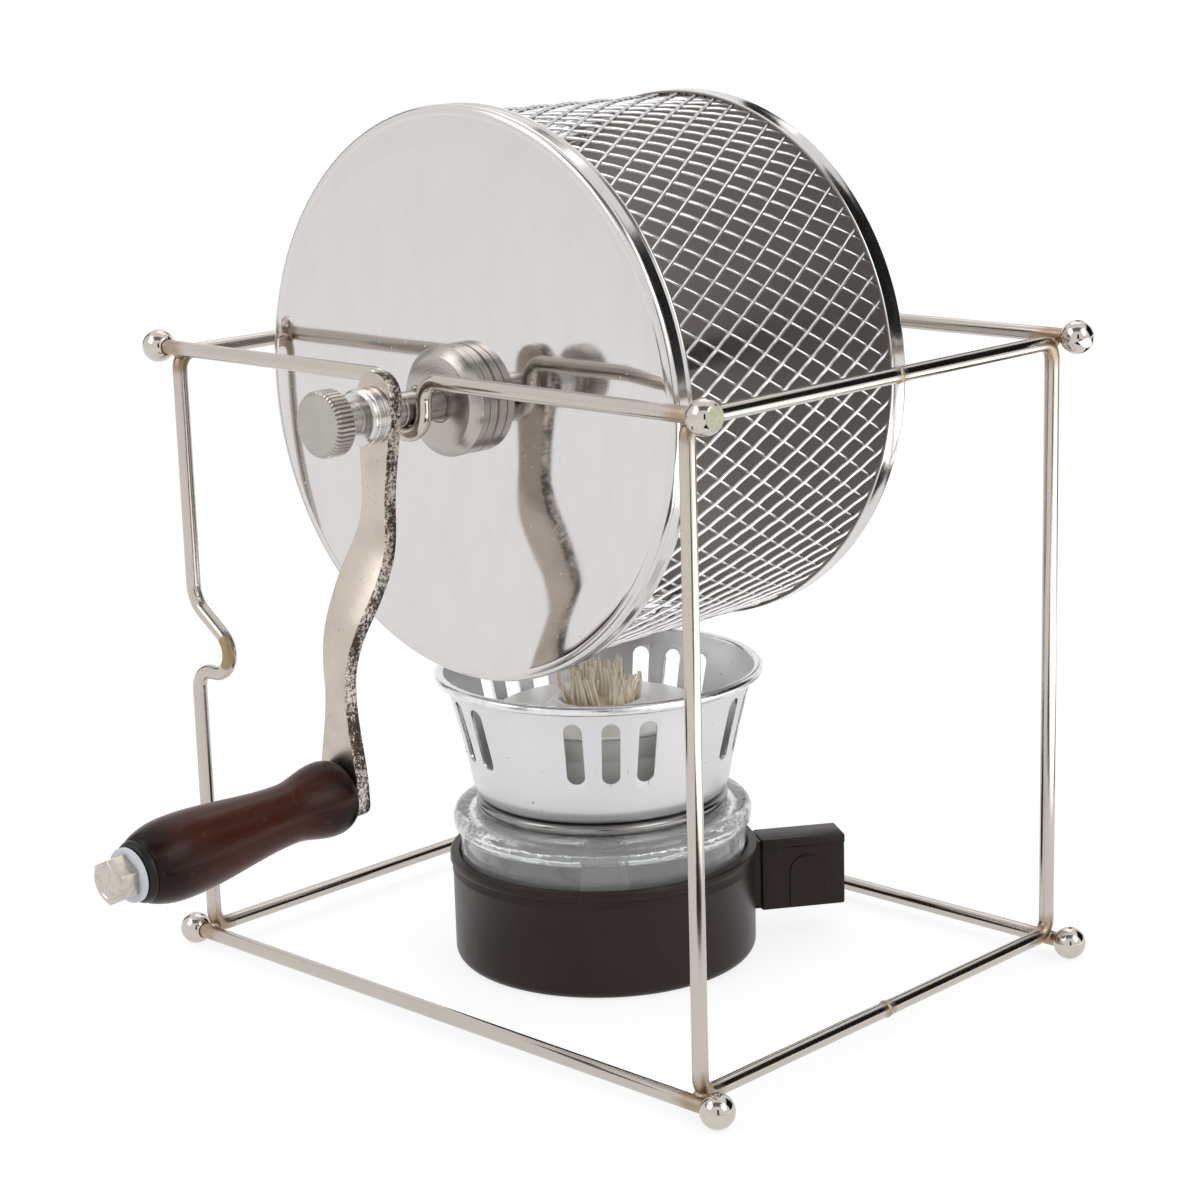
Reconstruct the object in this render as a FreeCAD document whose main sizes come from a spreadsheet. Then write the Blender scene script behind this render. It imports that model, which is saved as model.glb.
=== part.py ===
import FreeCAD, Part
import math
import os
import re
import Sketcher

# Hand-cranked stovetop coffee bean roaster: wire stand, woven wire drum, alcohol burner.
# X runs along the stand's rods, -Y is the crank side, +Z is up, millimetres.
# The origin is the middle of the stand's footprint on the table.

doc = FreeCAD.newDocument("bean_roaster")
sheet = doc.addObject("Spreadsheet::Sheet", "dims")

# Driving sizes
SIZES = (
    # stand
    ("ball_span", 196), ("frame_depth", 145), ("frame_height", 165.7),
    ("ball_dia", 8.8), ("wire_dia", 4), ("corner_bend", 4.5),
    ("weld_gap", 0.05), ("ball_gap", 0.2), ("socket_depth", 2.6), ("socket_fit", 0.04),
    ("dent_depth", 13.9), ("dent_flare", 5.5), ("dent_reach", 22),
    # shaft and running fit in the rod seats
    ("shaft_dia", 8.5), ("running_fit", 0.06), ("shaft_tail", 81),
    ("pin_dia", 3), ("pin_height", 5.2), ("pin_place", 68.6), ("pin_fit", 0.04),
    ("spigot_flats", 6.5), ("stud_dia", 4.7), ("tap_dia", 4.9), ("tap_depth", 11),
    ("flat_fit", 0.06), ("bore_fit", 0.08),
    # drum
    ("lid_face", 54.3), ("lid_skirt", 6.7), ("lid_sheet", 0.8), ("lid_corner", 1.6),
    ("lid_fit", 0.3), ("hoop_wall", 1.1), ("hoop_length", 5), ("band_fit", 0.1),
    ("seat_gap", 0.1), ("back_face", 35.9), ("back_rim", 6.3), ("back_sheet", 0.6),
    ("back_corner", 1.2), ("mesh_radius", 70.05), ("mesh_wire", 0.9), ("mesh_gap", 0.06),
    ("mesh_count", 68), ("mesh_pitch", 767), ("mesh_phase", 5.06), ("mesh_cross", 28.4),
    ("hub_dia", 28), ("hub_length", 7.8), ("hub_chamfer", 2),
    ("tail_hub_dia", 22), ("tail_hub_length", 6), ("tail_hub_chamfer", 1.2),
    # crank
    ("rest_angle", 4.5), ("arm_back", 79.55), ("arm_thick", 3.9), ("arm_step", 12.9),
    ("arm_slant", 26.5), ("arm_lean", 3.5), ("arm_bend", 30), ("arm_first_bend", 31),
    ("arm_top", 10.5), ("arm_eye", 6), ("arm_waist_one", 4.2), ("arm_belly", 6.8),
    ("arm_waist_two", 3.8), ("arm_foot", 7.2), ("crank_radius", 95.5), ("arm_end", 101.5),
    ("arm_waist_one_at", 22), ("arm_belly_at", 41), ("arm_waist_two_at", 69),
    ("collar_dia", 14), ("collar_length", 5.6), ("collar_bore", 5.3),
    ("knob_dia", 16.4), ("knob_length", 5.4), ("knob_neck_dia", 8.2), ("knob_neck", 5.4),
    ("knob_step_dia", 10.6), ("knob_step", 1.3), ("knurl_count", 44), ("knurl_depth", 0.45),
    ("stud_length", 14), ("stack_gap", 0.05),
    # grip
    ("grip_length", 62.2), ("grip_gap", 0.3), ("grip_foot_dia", 15), ("grip_bulge_dia", 19.2),
    ("grip_waist_dia", 15.2), ("grip_belly_dia", 20.6), ("grip_end_dia", 15.8),
    ("grip_bulge_at", 5), ("grip_waist_at", 17.5), ("grip_belly_at", 51),
    ("ferrule_dia", 15.4), ("ferrule_length", 2), ("washer_dia", 13.4), ("washer_thick", 1.5),
    ("bolt_dia", 5.9), ("bolt_fit", 0.08), ("bolt_flats", 10), ("bolt_head", 5.6),
    ("bolt_hole", 6), ("bolt_chamfer", 0.9), ("end_gap", 0.3),
    # burner
    ("burner_x", -6.2), ("burner_y", -0.8), ("cup_radius", 41.7), ("cup_height", 30.2),
    ("cup_wall", 2), ("cup_floor", 3), ("cup_corner", 3), ("cup_rim_step", 0.7),
    ("cup_rim_height", 2.2), ("handle_angle", 55), ("handle_reach", 67.8),
    ("handle_thick", 11), ("handle_bottom", 7.6), ("handle_top", 28.3), ("handle_round", 2),
    ("jar_fit", 0.4), ("jar_wall", 2.5), ("jar_corner", 4), ("jar_lip_radius", 41),
    ("jar_lip_low", 36.7), ("jar_lip_top", 43), ("jar_lip_round", 2.6), ("jar_lip_under", 1.5),
    ("jar_neck_radius", 29),
    ("jar_mouth", 68), ("jar_neck_wall", 2.2), ("fuel_level", 61.9), ("fuel_fit", 0.2),
    ("cap_sheet", 1), ("cap_skirt", 4), ("cap_fit", 0.2), ("holder_radius", 12.6),
    ("holder_bore", 10.4), ("holder_top", 72.3), ("holder_bottom", 64.3), ("holder_flange", 15),
    ("holder_flange_thick", 1.2), ("wick_stem", 4.5), ("wick_foot", 7.5), ("wick_top", 83.5),
    ("wick_flare", 11.7), ("wick_fit", 0.3), ("ring_radius", 34.5), ("ring_top", 46), ("ring_fit", 0.3),
    ("shield_sheet", 1), ("shield_floor_radius", 31.2), ("shield_heel_radius", 35.3),
    ("shield_heel_height", 4.4), ("shield_top_radius", 41.7), ("shield_rim_radius", 44.8),
    ("shield_top", 81.6), ("bead_radius", 1.4), ("slot_width", 4.9), ("slot_low", 58.4),
    ("slot_high", 76), ("slot_spread", 28.4), ("slot_front", -42.1),
)

# Sizes that follow from the driving ones
FOLLOWING = (
    ("wire_radius", "wire_dia / 2"), ("ball_radius", "ball_dia / 2"),
    ("half_depth", "frame_depth / 2"), ("half_span", "ball_span / 2"),
    ("low_rod_z", "ball_dia / 2"), ("top_rod_z", "ball_dia / 2 + frame_height"),
    ("middle_z", "ball_dia / 2 + frame_height / 2"),
    ("loop_x", "half_span - ball_radius - wire_radius - ball_gap"),
    ("loop_inset", "(corner_bend + wire_dia + weld_gap) / sqrt(2) - corner_bend"),
    ("loop_y", "half_depth - loop_inset"), ("loop_low", "low_rod_z + loop_inset"),
    ("loop_high", "top_rod_z - loop_inset"),
    ("rod_half", "half_span - ball_radius + socket_depth"),
    ("shaft_radius", "shaft_dia / 2"), ("dent_bend", "shaft_radius + running_fit + wire_radius"),
    ("dent_half", "dent_bend + dent_flare"), ("dent_leg", "dent_depth - dent_bend"),
    ("axle_z", "top_rod_z - dent_depth + dent_bend"),
    ("dent_low", "middle_z - dent_reach"), ("dent_high", "middle_z + dent_reach"),
    ("mesh_outer", "mesh_radius + mesh_wire / 2"),
    ("mesh_inner_radius", "mesh_radius - mesh_wire - mesh_gap"),
    ("back_radius", "mesh_outer + band_fit + back_sheet"),
    ("hoop_outer", "mesh_outer + band_fit + hoop_wall"),
    ("lid_radius", "hoop_outer + lid_fit + lid_sheet"),
    ("mesh_front", "lid_face - lid_sheet - 2 * seat_gap"),
    ("mesh_back", "back_face - back_sheet - 2 * seat_gap"),
    ("mesh_length", "mesh_front + mesh_back"),
    ("mesh_lead", "(mesh_back - mesh_cross) * 360 / mesh_pitch"),
    ("mesh_step", "360 / mesh_count"),
    ("spigot_end", "arm_back + arm_thick - 2 * stack_gap"),
    ("shaft_shoulder", "arm_back - stack_gap"),
    ("collar_back", "arm_back + arm_thick + stack_gap"),
    ("collar_front", "collar_back + collar_length"),
    ("knob_seat", "collar_front + stack_gap"),
    ("arm_middle", "arm_back + arm_thick / 2"),
    ("slant_drop", "arm_step / tan(arm_slant * 1deg)"),
    ("bend_one", "arm_bend * tan(arm_slant * 1deg / 2)"),
    ("bend_two", "arm_bend * tan((arm_slant + arm_lean) * 1deg / 2)"),
    ("arm_second_bend", "arm_first_bend + slant_drop"),
    ("slant_sin", "sin(arm_slant * 1deg)"), ("slant_cos", "cos(arm_slant * 1deg)"),
    ("lean_sin", "sin(arm_lean * 1deg)"), ("lean_cos", "cos(arm_lean * 1deg)"),
    ("lean_tan", "tan(arm_lean * 1deg)"),
    ("rest_sin", "sin(rest_angle * 1deg)"), ("rest_cos", "cos(rest_angle * 1deg)"),
    ("grip_reach", "arm_middle + arm_step - (crank_radius - arm_second_bend) * lean_tan"
                   " + arm_thick / 2 / lean_cos"),
    ("grip_x", "-crank_radius * rest_sin"), ("grip_z", "axle_z - crank_radius * rest_cos"),
    ("bolt_bore", "bolt_dia + 2 * bolt_fit"),
    ("ferrule_low", "grip_gap + grip_length + stack_gap"),
    ("washer_low", "ferrule_low + ferrule_length + end_gap"),
    ("head_low", "washer_low + washer_thick + stack_gap"),
    ("cup_inner", "cup_radius - cup_wall"), ("jar_radius", "cup_inner - jar_fit"),
    ("jar_foot", "cup_floor + stack_gap"), ("jar_inner", "jar_radius - jar_wall"),
    ("neck_inner", "jar_neck_radius - jar_neck_wall"), ("shoulder_low", "jar_lip_top - 3"),
    ("ring_low", "jar_lip_top + stack_gap"), ("shield_low", "ring_top + stack_gap"),
    ("cap_low", "jar_mouth + stack_gap"), ("cap_top", "jar_mouth + stack_gap + cap_sheet"),
    ("bead_z", "shield_top - bead_radius"), ("bead_r", "shield_rim_radius - bead_radius"),
)

NAMES = [name for name, _ in SIZES] + [name for name, _ in FOLLOWING]
WORDS = re.compile(r"\b(" + "|".join(sorted(NAMES, key=len, reverse=True)) + r")\b")

for row, (name, value) in enumerate(SIZES, 1):
    sheet.set("A%d" % row, name)
    sheet.set("B%d" % row, str(value))
    sheet.setAlias("B%d" % row, name)
for row, (name, formula) in enumerate(FOLLOWING, 1):
    sheet.set("D%d" % row, name)
    sheet.set("E%d" % row, "=" + formula)
    sheet.setAlias("E%d" % row, name)
doc.recompute()


def bound(text):
    """The expression with every size name pointing at the sheet."""
    return WORDS.sub(r"dims.\1", text)


def number(text):
    value = sheet.evalExpression(bound(text))
    return float(getattr(value, "Value", value))


def link(thing, prop, text):
    thing.setExpression(prop, bound(text))


def place(thing, x="0", y="0", z="0", yaw="0", pitch="0", roll="0"):
    link(thing, "Placement",
         "create(<<placement>>; create(<<vector>>; %s; %s; %s);"
         " create(<<rotation>>; %s; %s; %s))" % (x, y, z, yaw, pitch, roll))


def place_on_axle(thing, turn="0"):
    """Local +Z points to the crank, local +Y points up."""
    place(thing, z="axle_z", pitch=turn, roll="90")


def new_body(label):
    body = doc.addObject("PartDesign::Body", label)
    body.Label = label
    return body


def origin_item(body, role):
    return [o for o in body.Origin.OriginFeatures if o.Role == role][0]


def new_sketch(body, role, label, offset=None):
    sketch = body.newObject("Sketcher::SketchObject", label)
    sketch.AttachmentSupport = [(origin_item(body, role), "")]
    sketch.MapMode = "FlatFace"
    if offset is not None:
        link(sketch, "AttachmentOffset.Base.z", offset)
    return sketch


def pin_point(sketch, geo, pos, x, y):
    for kind, text, axis in (("DistanceX", x, -2), ("DistanceY", y, -1)):
        if text == "0":
            sketch.addConstraint(Sketcher.Constraint("PointOnObject", geo, pos, axis))
        else:
            index = sketch.addConstraint(
                Sketcher.Constraint(kind, -1, 1, geo, pos, number(text)))
            link(sketch, "Constraints[%d]" % index, text)


def trace(sketch, corners, closed=True):
    """Lines and tangent arcs through the corners; a third item 'arc' bends the piece after it."""
    spots = [(number(c[0]), number(c[1])) for c in corners]
    count = len(corners) if closed else len(corners) - 1
    heading = None
    ends = []
    for i in range(count):
        (x0, y0), (x1, y1) = spots[i], spots[(i + 1) % len(spots)]
        if len(corners[i]) > 2:
            nx, ny = -heading[1], heading[0]
            cx, cy = x1 - x0, y1 - y0
            side = nx * cx + ny * cy
            radius = (cx * cx + cy * cy) / (2 * side)
            mx, my = x0 + nx * radius, y0 + ny * radius
            first = math.atan2(y0 - my, x0 - mx)
            last = math.atan2(y1 - my, x1 - mx)
            circle = Part.Circle(FreeCAD.Vector(mx, my, 0), FreeCAD.Vector(0, 0, 1), abs(radius))
            if radius > 0:
                if last < first:
                    last += 2 * math.pi
                geo = sketch.addGeometry(Part.ArcOfCircle(circle, first, last))
                ends.append((geo, 1, 2))
                heading = (-math.sin(last), math.cos(last))
            else:
                if first < last:
                    first += 2 * math.pi
                geo = sketch.addGeometry(Part.ArcOfCircle(circle, last, first))
                ends.append((geo, 2, 1))
                heading = (math.sin(last), -math.cos(last))
        else:
            geo = sketch.addGeometry(
                Part.LineSegment(FreeCAD.Vector(x0, y0, 0), FreeCAD.Vector(x1, y1, 0)))
            ends.append((geo, 1, 2))
            size = math.hypot(x1 - x0, y1 - y0)
            heading = ((x1 - x0) / size, (y1 - y0) / size)
    for i in range(count):
        if i or closed:
            before, after = ends[i - 1], ends[i]
            kind = "Tangent" if len(corners[i]) > 2 else "Coincident"
            sketch.addConstraint(
                Sketcher.Constraint(kind, before[0], before[2], after[0], after[1]))
    for i in range(count):
        pin_point(sketch, ends[i][0], ends[i][1], corners[i][0], corners[i][1])
    if not closed:
        pin_point(sketch, ends[-1][0], ends[-1][2], corners[-1][0], corners[-1][1])


def add_circle(sketch, x, y, radius):
    circle = Part.Circle(
        FreeCAD.Vector(number(x), number(y), 0), FreeCAD.Vector(0, 0, 1), number(radius))
    geo = sketch.addGeometry(circle)
    pin_point(sketch, geo, 3, x, y)
    index = sketch.addConstraint(Sketcher.Constraint("Radius", geo, number(radius)))
    link(sketch, "Constraints[%d]" % index, radius)


def revolve(body, corners, label=None):
    sketch = new_sketch(body, "XZ_Plane", (label or body.Label) + "_profile")
    trace(sketch, corners)
    turning = body.newObject("PartDesign::Revolution", (label or body.Label) + "_turning")
    turning.Profile = sketch
    turning.ReferenceAxis = (sketch, ["V_Axis"])
    turning.Angle = 360
    body.Tip = turning
    return turning


def turned(label, corners):
    body = new_body(label)
    revolve(body, corners)
    return body


def bent_wire(body, label, role, corners, closed, offset, section_role, section_offset, at, radius):
    path = new_sketch(body, role, label + "_path", offset)
    trace(path, corners, closed)
    section = new_sketch(body, section_role, label + "_section", section_offset)
    add_circle(section, at[0], at[1], radius)
    pipe = body.newObject("PartDesign::AdditivePipe", label + "_bend")
    pipe.Profile = section
    count = len(corners) if closed else len(corners) - 1
    pipe.Spine = (path, ["Edge%d" % (i + 1) for i in range(count)])
    body.Tip = pipe
    doc.recompute()
    return pipe


def polar(body, label, feature, count, angle):
    ring = body.newObject("PartDesign::PolarPattern", label)
    ring.Originals = [feature]
    ring.Axis = (origin_item(body, "Z_Axis"), [""])
    link(ring, "Angle", angle)
    link(ring, "Occurrences", count)
    body.Tip = ring
    return ring


def cylinder(label, radius, height, **where):
    piece = doc.addObject("Part::Cylinder", label)
    link(piece, "Radius", radius)
    link(piece, "Height", height)
    place(piece, **where)
    return piece


def box(label, length, width, height, **where):
    piece = doc.addObject("Part::Box", label)
    for prop, text in (("Length", length), ("Width", width), ("Height", height)):
        link(piece, prop, text)
    place(piece, **where)
    return piece


def cut(label, base, tools):
    joined = tools[0]
    if len(tools) > 1:
        joined = doc.addObject("Part::MultiFuse", label + "_cutters")
        joined.Shapes = tools
    piece = doc.addObject("Part::Cut", label)
    piece.Label = label
    piece.Base = base
    piece.Tool = joined
    return piece


nodes = []

# Rods of the stand: straight below, with a seat for the axle in the two above
SEATED = (("-rod_half", "0"), ("-dent_half", "0", "arc"), ("-dent_bend", "-dent_flare"),
          ("-dent_bend", "-dent_leg", "arc"), ("dent_bend", "-dent_leg"),
          ("dent_bend", "-dent_flare", "arc"), ("dent_half", "0"), ("rod_half", "0"))
for label, corners, y, z in (
        ("top_front_rod", SEATED, "-half_depth", "top_rod_z"),
        ("top_back_rod", SEATED, "half_depth", "top_rod_z"),
        ("bottom_front_rod", (("-rod_half", "0"), ("rod_half", "0")), "-half_depth", "low_rod_z"),
        ("bottom_back_rod", (("-rod_half", "0"), ("rod_half", "0")), "half_depth", "low_rod_z")):
    rod = new_body(label)
    bent_wire(rod, label, "XZ_Plane", corners, False, None, "YZ_Plane", "-rod_half",
              ("0", "0"), "wire_radius")
    place(rod, y=y, z=z)
    nodes.append(rod)

# Right side loop: one closed bent wire
LOW_RIGHT = (("loop_y - corner_bend", "loop_low", "arc"), ("loop_y", "loop_low + corner_bend"))
LOW_LEFT = (("-loop_y", "loop_low + corner_bend", "arc"), ("-loop_y + corner_bend", "loop_low"))
HIGH_RIGHT = (("loop_y", "loop_high - corner_bend", "arc"), ("loop_y - corner_bend", "loop_high"))
HIGH_LEFT = (("-loop_y + corner_bend", "loop_high", "arc"), ("-loop_y", "loop_high - corner_bend"))
right_loop = new_body("right_loop")
bent_wire(right_loop, "right_loop", "YZ_Plane",
          (("0", "loop_low"),) + LOW_RIGHT + HIGH_RIGHT + HIGH_LEFT + LOW_LEFT,
          True, None, "XZ_Plane", None, ("0", "loop_low"), "wire_radius")
place(right_loop, x="loop_x")
nodes.append(right_loop)

# Left side loop: its two uprights are dented inwards as a second, higher axle seat
left_loop = new_body("left_loop")
bent_wire(left_loop, "left_low", "YZ_Plane",
          (("-loop_y", "dent_low"),) + LOW_LEFT + LOW_RIGHT + (("loop_y", "dent_low"),),
          False, None, "XY_Plane", "dent_low", ("0", "-loop_y"), "wire_radius")
for side, name in (("loop_y", "left_front_dent"), ("-loop_y", "left_back_dent")):
    bent_wire(left_loop, name, "XZ_Plane",
              (("0", "dent_low"), ("0", "middle_z - dent_half", "arc"),
               ("dent_flare", "middle_z - dent_bend"), ("dent_leg", "middle_z - dent_bend", "arc"),
               ("dent_leg", "middle_z + dent_bend"), ("dent_flare", "middle_z + dent_bend", "arc"),
               ("0", "middle_z + dent_half"), ("0", "dent_high")),
              False, side, "XY_Plane", "dent_low",
              ("0", "-loop_y" if side == "loop_y" else "loop_y"), "wire_radius")
bent_wire(left_loop, "left_high", "YZ_Plane",
          (("-loop_y", "dent_high"),
           ("-loop_y", "loop_high - corner_bend", "arc"), ("-loop_y + corner_bend", "loop_high"),
           ("loop_y - corner_bend", "loop_high", "arc"), ("loop_y", "loop_high - corner_bend"),
           ("loop_y", "dent_high")),
          False, None, "XY_Plane", "dent_high", ("0", "-loop_y"), "wire_radius")
place(left_loop, x="-loop_x")
nodes.append(left_loop)

# Balls on the rod ends
for level, z in (("top", "top_rod_z"), ("bottom", "low_rod_z")):
    for row, y in (("front", "-half_depth"), ("back", "half_depth")):
        for side, x, yaw in (("left", "-half_span", "180"), ("right", "half_span", "0")):
            label = "%s_%s_%s_ball" % (level, row, side)
            sphere = doc.addObject("Part::Sphere", label + "_blank")
            link(sphere, "Radius", "ball_radius")
            socket = cylinder(label + "_socket", "wire_radius + socket_fit",
                              "socket_depth + 1 + stack_gap", x="-ball_radius - 1", pitch="90")
            ball = cut(label, sphere, [socket])
            place(ball, x=x, y=y, z=z, yaw=yaw)
            nodes.append(ball)

# Shaft right through the drum: flats and a tapped end for the crank, two cross holes for pins
shaft_rod = cylinder("shaft_blank", "shaft_radius", "spigot_end + shaft_tail", z="-shaft_tail")
flats = [box("shaft_flat_%s" % name, "shaft_dia", "shaft_dia", "spigot_end - shaft_shoulder + 1",
             x="%s * cos(rest_angle) - shaft_radius * sin(rest_angle)" % x,
             y="-(%s) * sin(rest_angle) - shaft_radius * cos(rest_angle)" % x,
             z="shaft_shoulder", yaw="-rest_angle")
         for name, x in (("right", "spigot_flats / 2"), ("left", "-(spigot_flats / 2 + shaft_dia)"))]
tapped = cylinder("shaft_tapping", "tap_dia / 2", "tap_depth + 5", z="spigot_end - tap_depth")
cross = [cylinder("shaft_cross_%s" % name, "pin_dia / 2 + pin_fit", "shaft_dia",
                  y="-3 - stack_gap", z=z, roll="-90")
         for name, z in (("front", "pin_place"), ("back", "-pin_place"))]
drum_shaft = cut("drum_shaft", shaft_rod, flats + [tapped] + cross)
place_on_axle(drum_shaft)
nodes.append(drum_shaft)

# Locating pins with a dimple in the end
PIN = (("0", "-3"), ("pin_dia / 2", "-3"), ("pin_dia / 2", "pin_height - 0.4"),
       ("pin_dia / 2 - 0.4", "pin_height"), ("0.6", "pin_height"), ("0", "pin_height - 0.5"))
for label, y in (("front_pin", "-pin_place"), ("back_pin", "pin_place")):
    pin = turned(label, PIN)
    place(pin, y=y, z="axle_z")
    nodes.append(pin)

# Drum: lid, hoop, woven wires, back plate, hubs
front_lid = turned("front_lid", (
    ("shaft_radius + bore_fit", "lid_face"), ("lid_radius - lid_corner", "lid_face", "arc"),
    ("lid_radius", "lid_face - lid_corner"), ("lid_radius", "lid_face - lid_skirt"),
    ("lid_radius - lid_sheet", "lid_face - lid_skirt"),
    ("lid_radius - lid_sheet", "lid_face - lid_corner", "arc"),
    ("lid_radius - lid_corner", "lid_face - lid_sheet"),
    ("shaft_radius + bore_fit", "lid_face - lid_sheet")))
nodes.append(front_lid)

front_hoop = turned("front_hoop", (
    ("mesh_outer + band_fit", "mesh_front"), ("hoop_outer - 0.8", "mesh_front"),
    ("hoop_outer", "mesh_front - 0.8"), ("hoop_outer", "mesh_front - hoop_length"),
    ("mesh_outer + band_fit", "mesh_front - hoop_length")))
nodes.append(front_hoop)

for label, radius, left, turn in (
        ("outer_mesh_wires", "mesh_radius", True, "-mesh_phase - mesh_lead"),
        ("inner_mesh_wires", "mesh_inner_radius", False, "-mesh_phase + mesh_lead")):
    mesh = new_body(label)
    mesh.AllowCompound = True
    section = new_sketch(mesh, "XY_Plane", label + "_section", "-mesh_back")
    add_circle(section, radius, "0", "mesh_wire / 2")
    coil = mesh.newObject("PartDesign::AdditiveHelix", label + "_coil")
    coil.Profile = section
    coil.ReferenceAxis = (origin_item(mesh, "Z_Axis"), [""])
    coil.Mode = 0
    link(coil, "Pitch", "mesh_pitch")
    link(coil, "Height", "mesh_length")
    coil.LeftHanded = left
    mesh.Tip = coil
    doc.recompute()
    polar(mesh, label + "_ring", coil, "mesh_count", "360")
    place_on_axle(mesh, turn)
    nodes.append(mesh)

back_plate = turned("back_plate", (
    ("shaft_radius + bore_fit", "-back_face"), ("back_radius - back_corner", "-back_face", "arc"),
    ("back_radius", "-back_face + back_corner"), ("back_radius", "-back_face + back_rim"),
    ("back_radius - back_sheet", "-back_face + back_rim"),
    ("back_radius - back_sheet", "-back_face + back_corner", "arc"),
    ("back_radius - back_corner", "-back_face + back_sheet"),
    ("shaft_radius + bore_fit", "-back_face + back_sheet")))
nodes.append(back_plate)

hub_nut = turned("hub_nut", (
    ("shaft_radius + bore_fit", "lid_face + stack_gap"),
    ("hub_dia / 2", "lid_face + stack_gap"),
    ("hub_dia / 2", "lid_face + hub_length - hub_chamfer"),
    ("hub_dia / 2 - hub_chamfer", "lid_face + hub_length"),
    ("shaft_radius + bore_fit", "lid_face + hub_length")))
nodes.append(hub_nut)

back_hub = turned("back_hub", (
    ("shaft_radius + bore_fit", "-back_face - stack_gap"),
    ("tail_hub_dia / 2", "-back_face - stack_gap"),
    ("tail_hub_dia / 2", "-back_face - tail_hub_length + tail_hub_chamfer"),
    ("tail_hub_dia / 2 - tail_hub_chamfer", "-back_face - tail_hub_length"),
    ("shaft_radius + bore_fit", "-back_face - tail_hub_length")))
nodes.append(back_hub)
for piece in (front_lid, front_hoop, back_plate, hub_nut, back_hub):
    place_on_axle(piece)

# Crank arm: a flat bar bent outwards, waisted twice, with an eye for the shaft
arm_bar = new_body("crank_arm_bar")
bar_path = new_sketch(arm_bar, "YZ_Plane", "crank_arm_path")
trace(bar_path, (
    ("arm_top + 4", "arm_middle"), ("-arm_first_bend + bend_one", "arm_middle", "arc"),
    ("-arm_first_bend - bend_one * slant_cos", "arm_middle + bend_one * slant_sin"),
    ("-arm_second_bend + bend_two * slant_cos", "arm_middle + arm_step - bend_two * slant_sin",
     "arc"),
    ("-arm_second_bend - bend_two * lean_cos", "arm_middle + arm_step - bend_two * lean_sin"),
    ("-arm_end - 12", "arm_middle + arm_step - (arm_end + 12 - arm_second_bend) * lean_tan")),
      False)
bar_section = new_sketch(arm_bar, "XZ_Plane", "crank_arm_section", "-arm_top - 4")
trace(bar_section, (("-12", "arm_back"), ("12", "arm_back"),
                    ("12", "arm_back + arm_thick"), ("-12", "arm_back + arm_thick")))
bar_bend = arm_bar.newObject("PartDesign::AdditivePipe", "crank_arm_bend")
bar_bend.Profile = bar_section
bar_bend.Spine = (bar_path, ["Edge%d" % (i + 1) for i in range(5)])
arm_bar.Tip = bar_bend


def eased(start, stop, low, high, steps):
    """Width and place expressions from one waist to the next."""
    for i in range(1, steps + 1):
        t = i / steps
        blend = 3 * t * t - 2 * t ** 3
        yield ("(%s + (%s - %s) * %.6f)" % (low, high, low, blend),
               "(%s + (%s - %s) * %.6f)" % (start, stop, start, t))


half_outline = [("arm_eye", "(-arm_top + arm_eye)")]
half_outline += list(eased("(-arm_top + arm_eye)", "arm_waist_one_at",
                           "arm_eye", "arm_waist_one", 6))
half_outline += list(eased("arm_waist_one_at", "arm_belly_at",
                           "arm_waist_one", "arm_belly", 6))
half_outline += list(eased("arm_belly_at", "arm_waist_two_at",
                           "arm_belly", "arm_waist_two", 6))
half_outline += list(eased("arm_waist_two_at", "(arm_end - arm_foot + 2)", "arm_waist_two",
                           "arm_foot", 6))
arm_outline = new_body("crank_arm_outline")
outline_sketch = new_sketch(arm_outline, "XY_Plane", "crank_arm_front")
corners = [(w, "-%s" % p) for w, p in half_outline]
corners += [("arm_foot * 0.86", "-arm_end + arm_foot * 0.42"), ("arm_foot * 0.5", "-arm_end + 0.9"),
            ("0", "-arm_end"),
            ("-arm_foot * 0.5", "-arm_end + 0.9"), ("-arm_foot * 0.86", "-arm_end + arm_foot * 0.42")]
corners += [("-%s" % w, "-%s" % p) for w, p in reversed(half_outline)]
for turn in (157.5, 135, 112.5, 90, 67.5, 45, 22.5):
    across = "0" if turn == 90 else "arm_eye * %.6f" % math.cos(math.radians(turn))
    corners.append((across, "arm_top - arm_eye + arm_eye * %.6f" % math.sin(math.radians(turn))))
trace(outline_sketch, corners)
outline_pad = arm_outline.newObject("PartDesign::Pad", "crank_arm_block")
outline_pad.Profile = outline_sketch
link(outline_pad, "Length", "arm_back + arm_thick + arm_step + 20")
arm_outline.Tip = outline_pad
arm_blank = doc.addObject("Part::Common", "crank_arm_blank")
arm_blank.Base = arm_bar
arm_blank.Tool = arm_outline
round_hole = cylinder("crank_arm_round", "shaft_radius + flat_fit", "arm_thick + 4",
                      z="arm_back - 2")
flat_hole = box("crank_arm_flats", "spigot_flats + 2 * flat_fit", "shaft_dia + 2", "arm_thick + 4",
                x="-spigot_flats / 2 - flat_fit", y="-shaft_radius - 1", z="arm_back - 2")
eye_hole = doc.addObject("Part::Common", "crank_arm_eye")
eye_hole.Base = round_hole
eye_hole.Tool = flat_hole
grip_hole = cylinder("crank_arm_tapping", "bolt_hole / 2", "arm_thick + 12",
                     y="-crank_radius + 8 * lean_sin", z="grip_reach - (arm_thick + 4) * lean_cos",
                     roll="arm_lean")
crank_arm = cut("crank_arm", arm_blank, [eye_hole, grip_hole])
place_on_axle(crank_arm, "rest_angle")
nodes.append(crank_arm)

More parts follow.
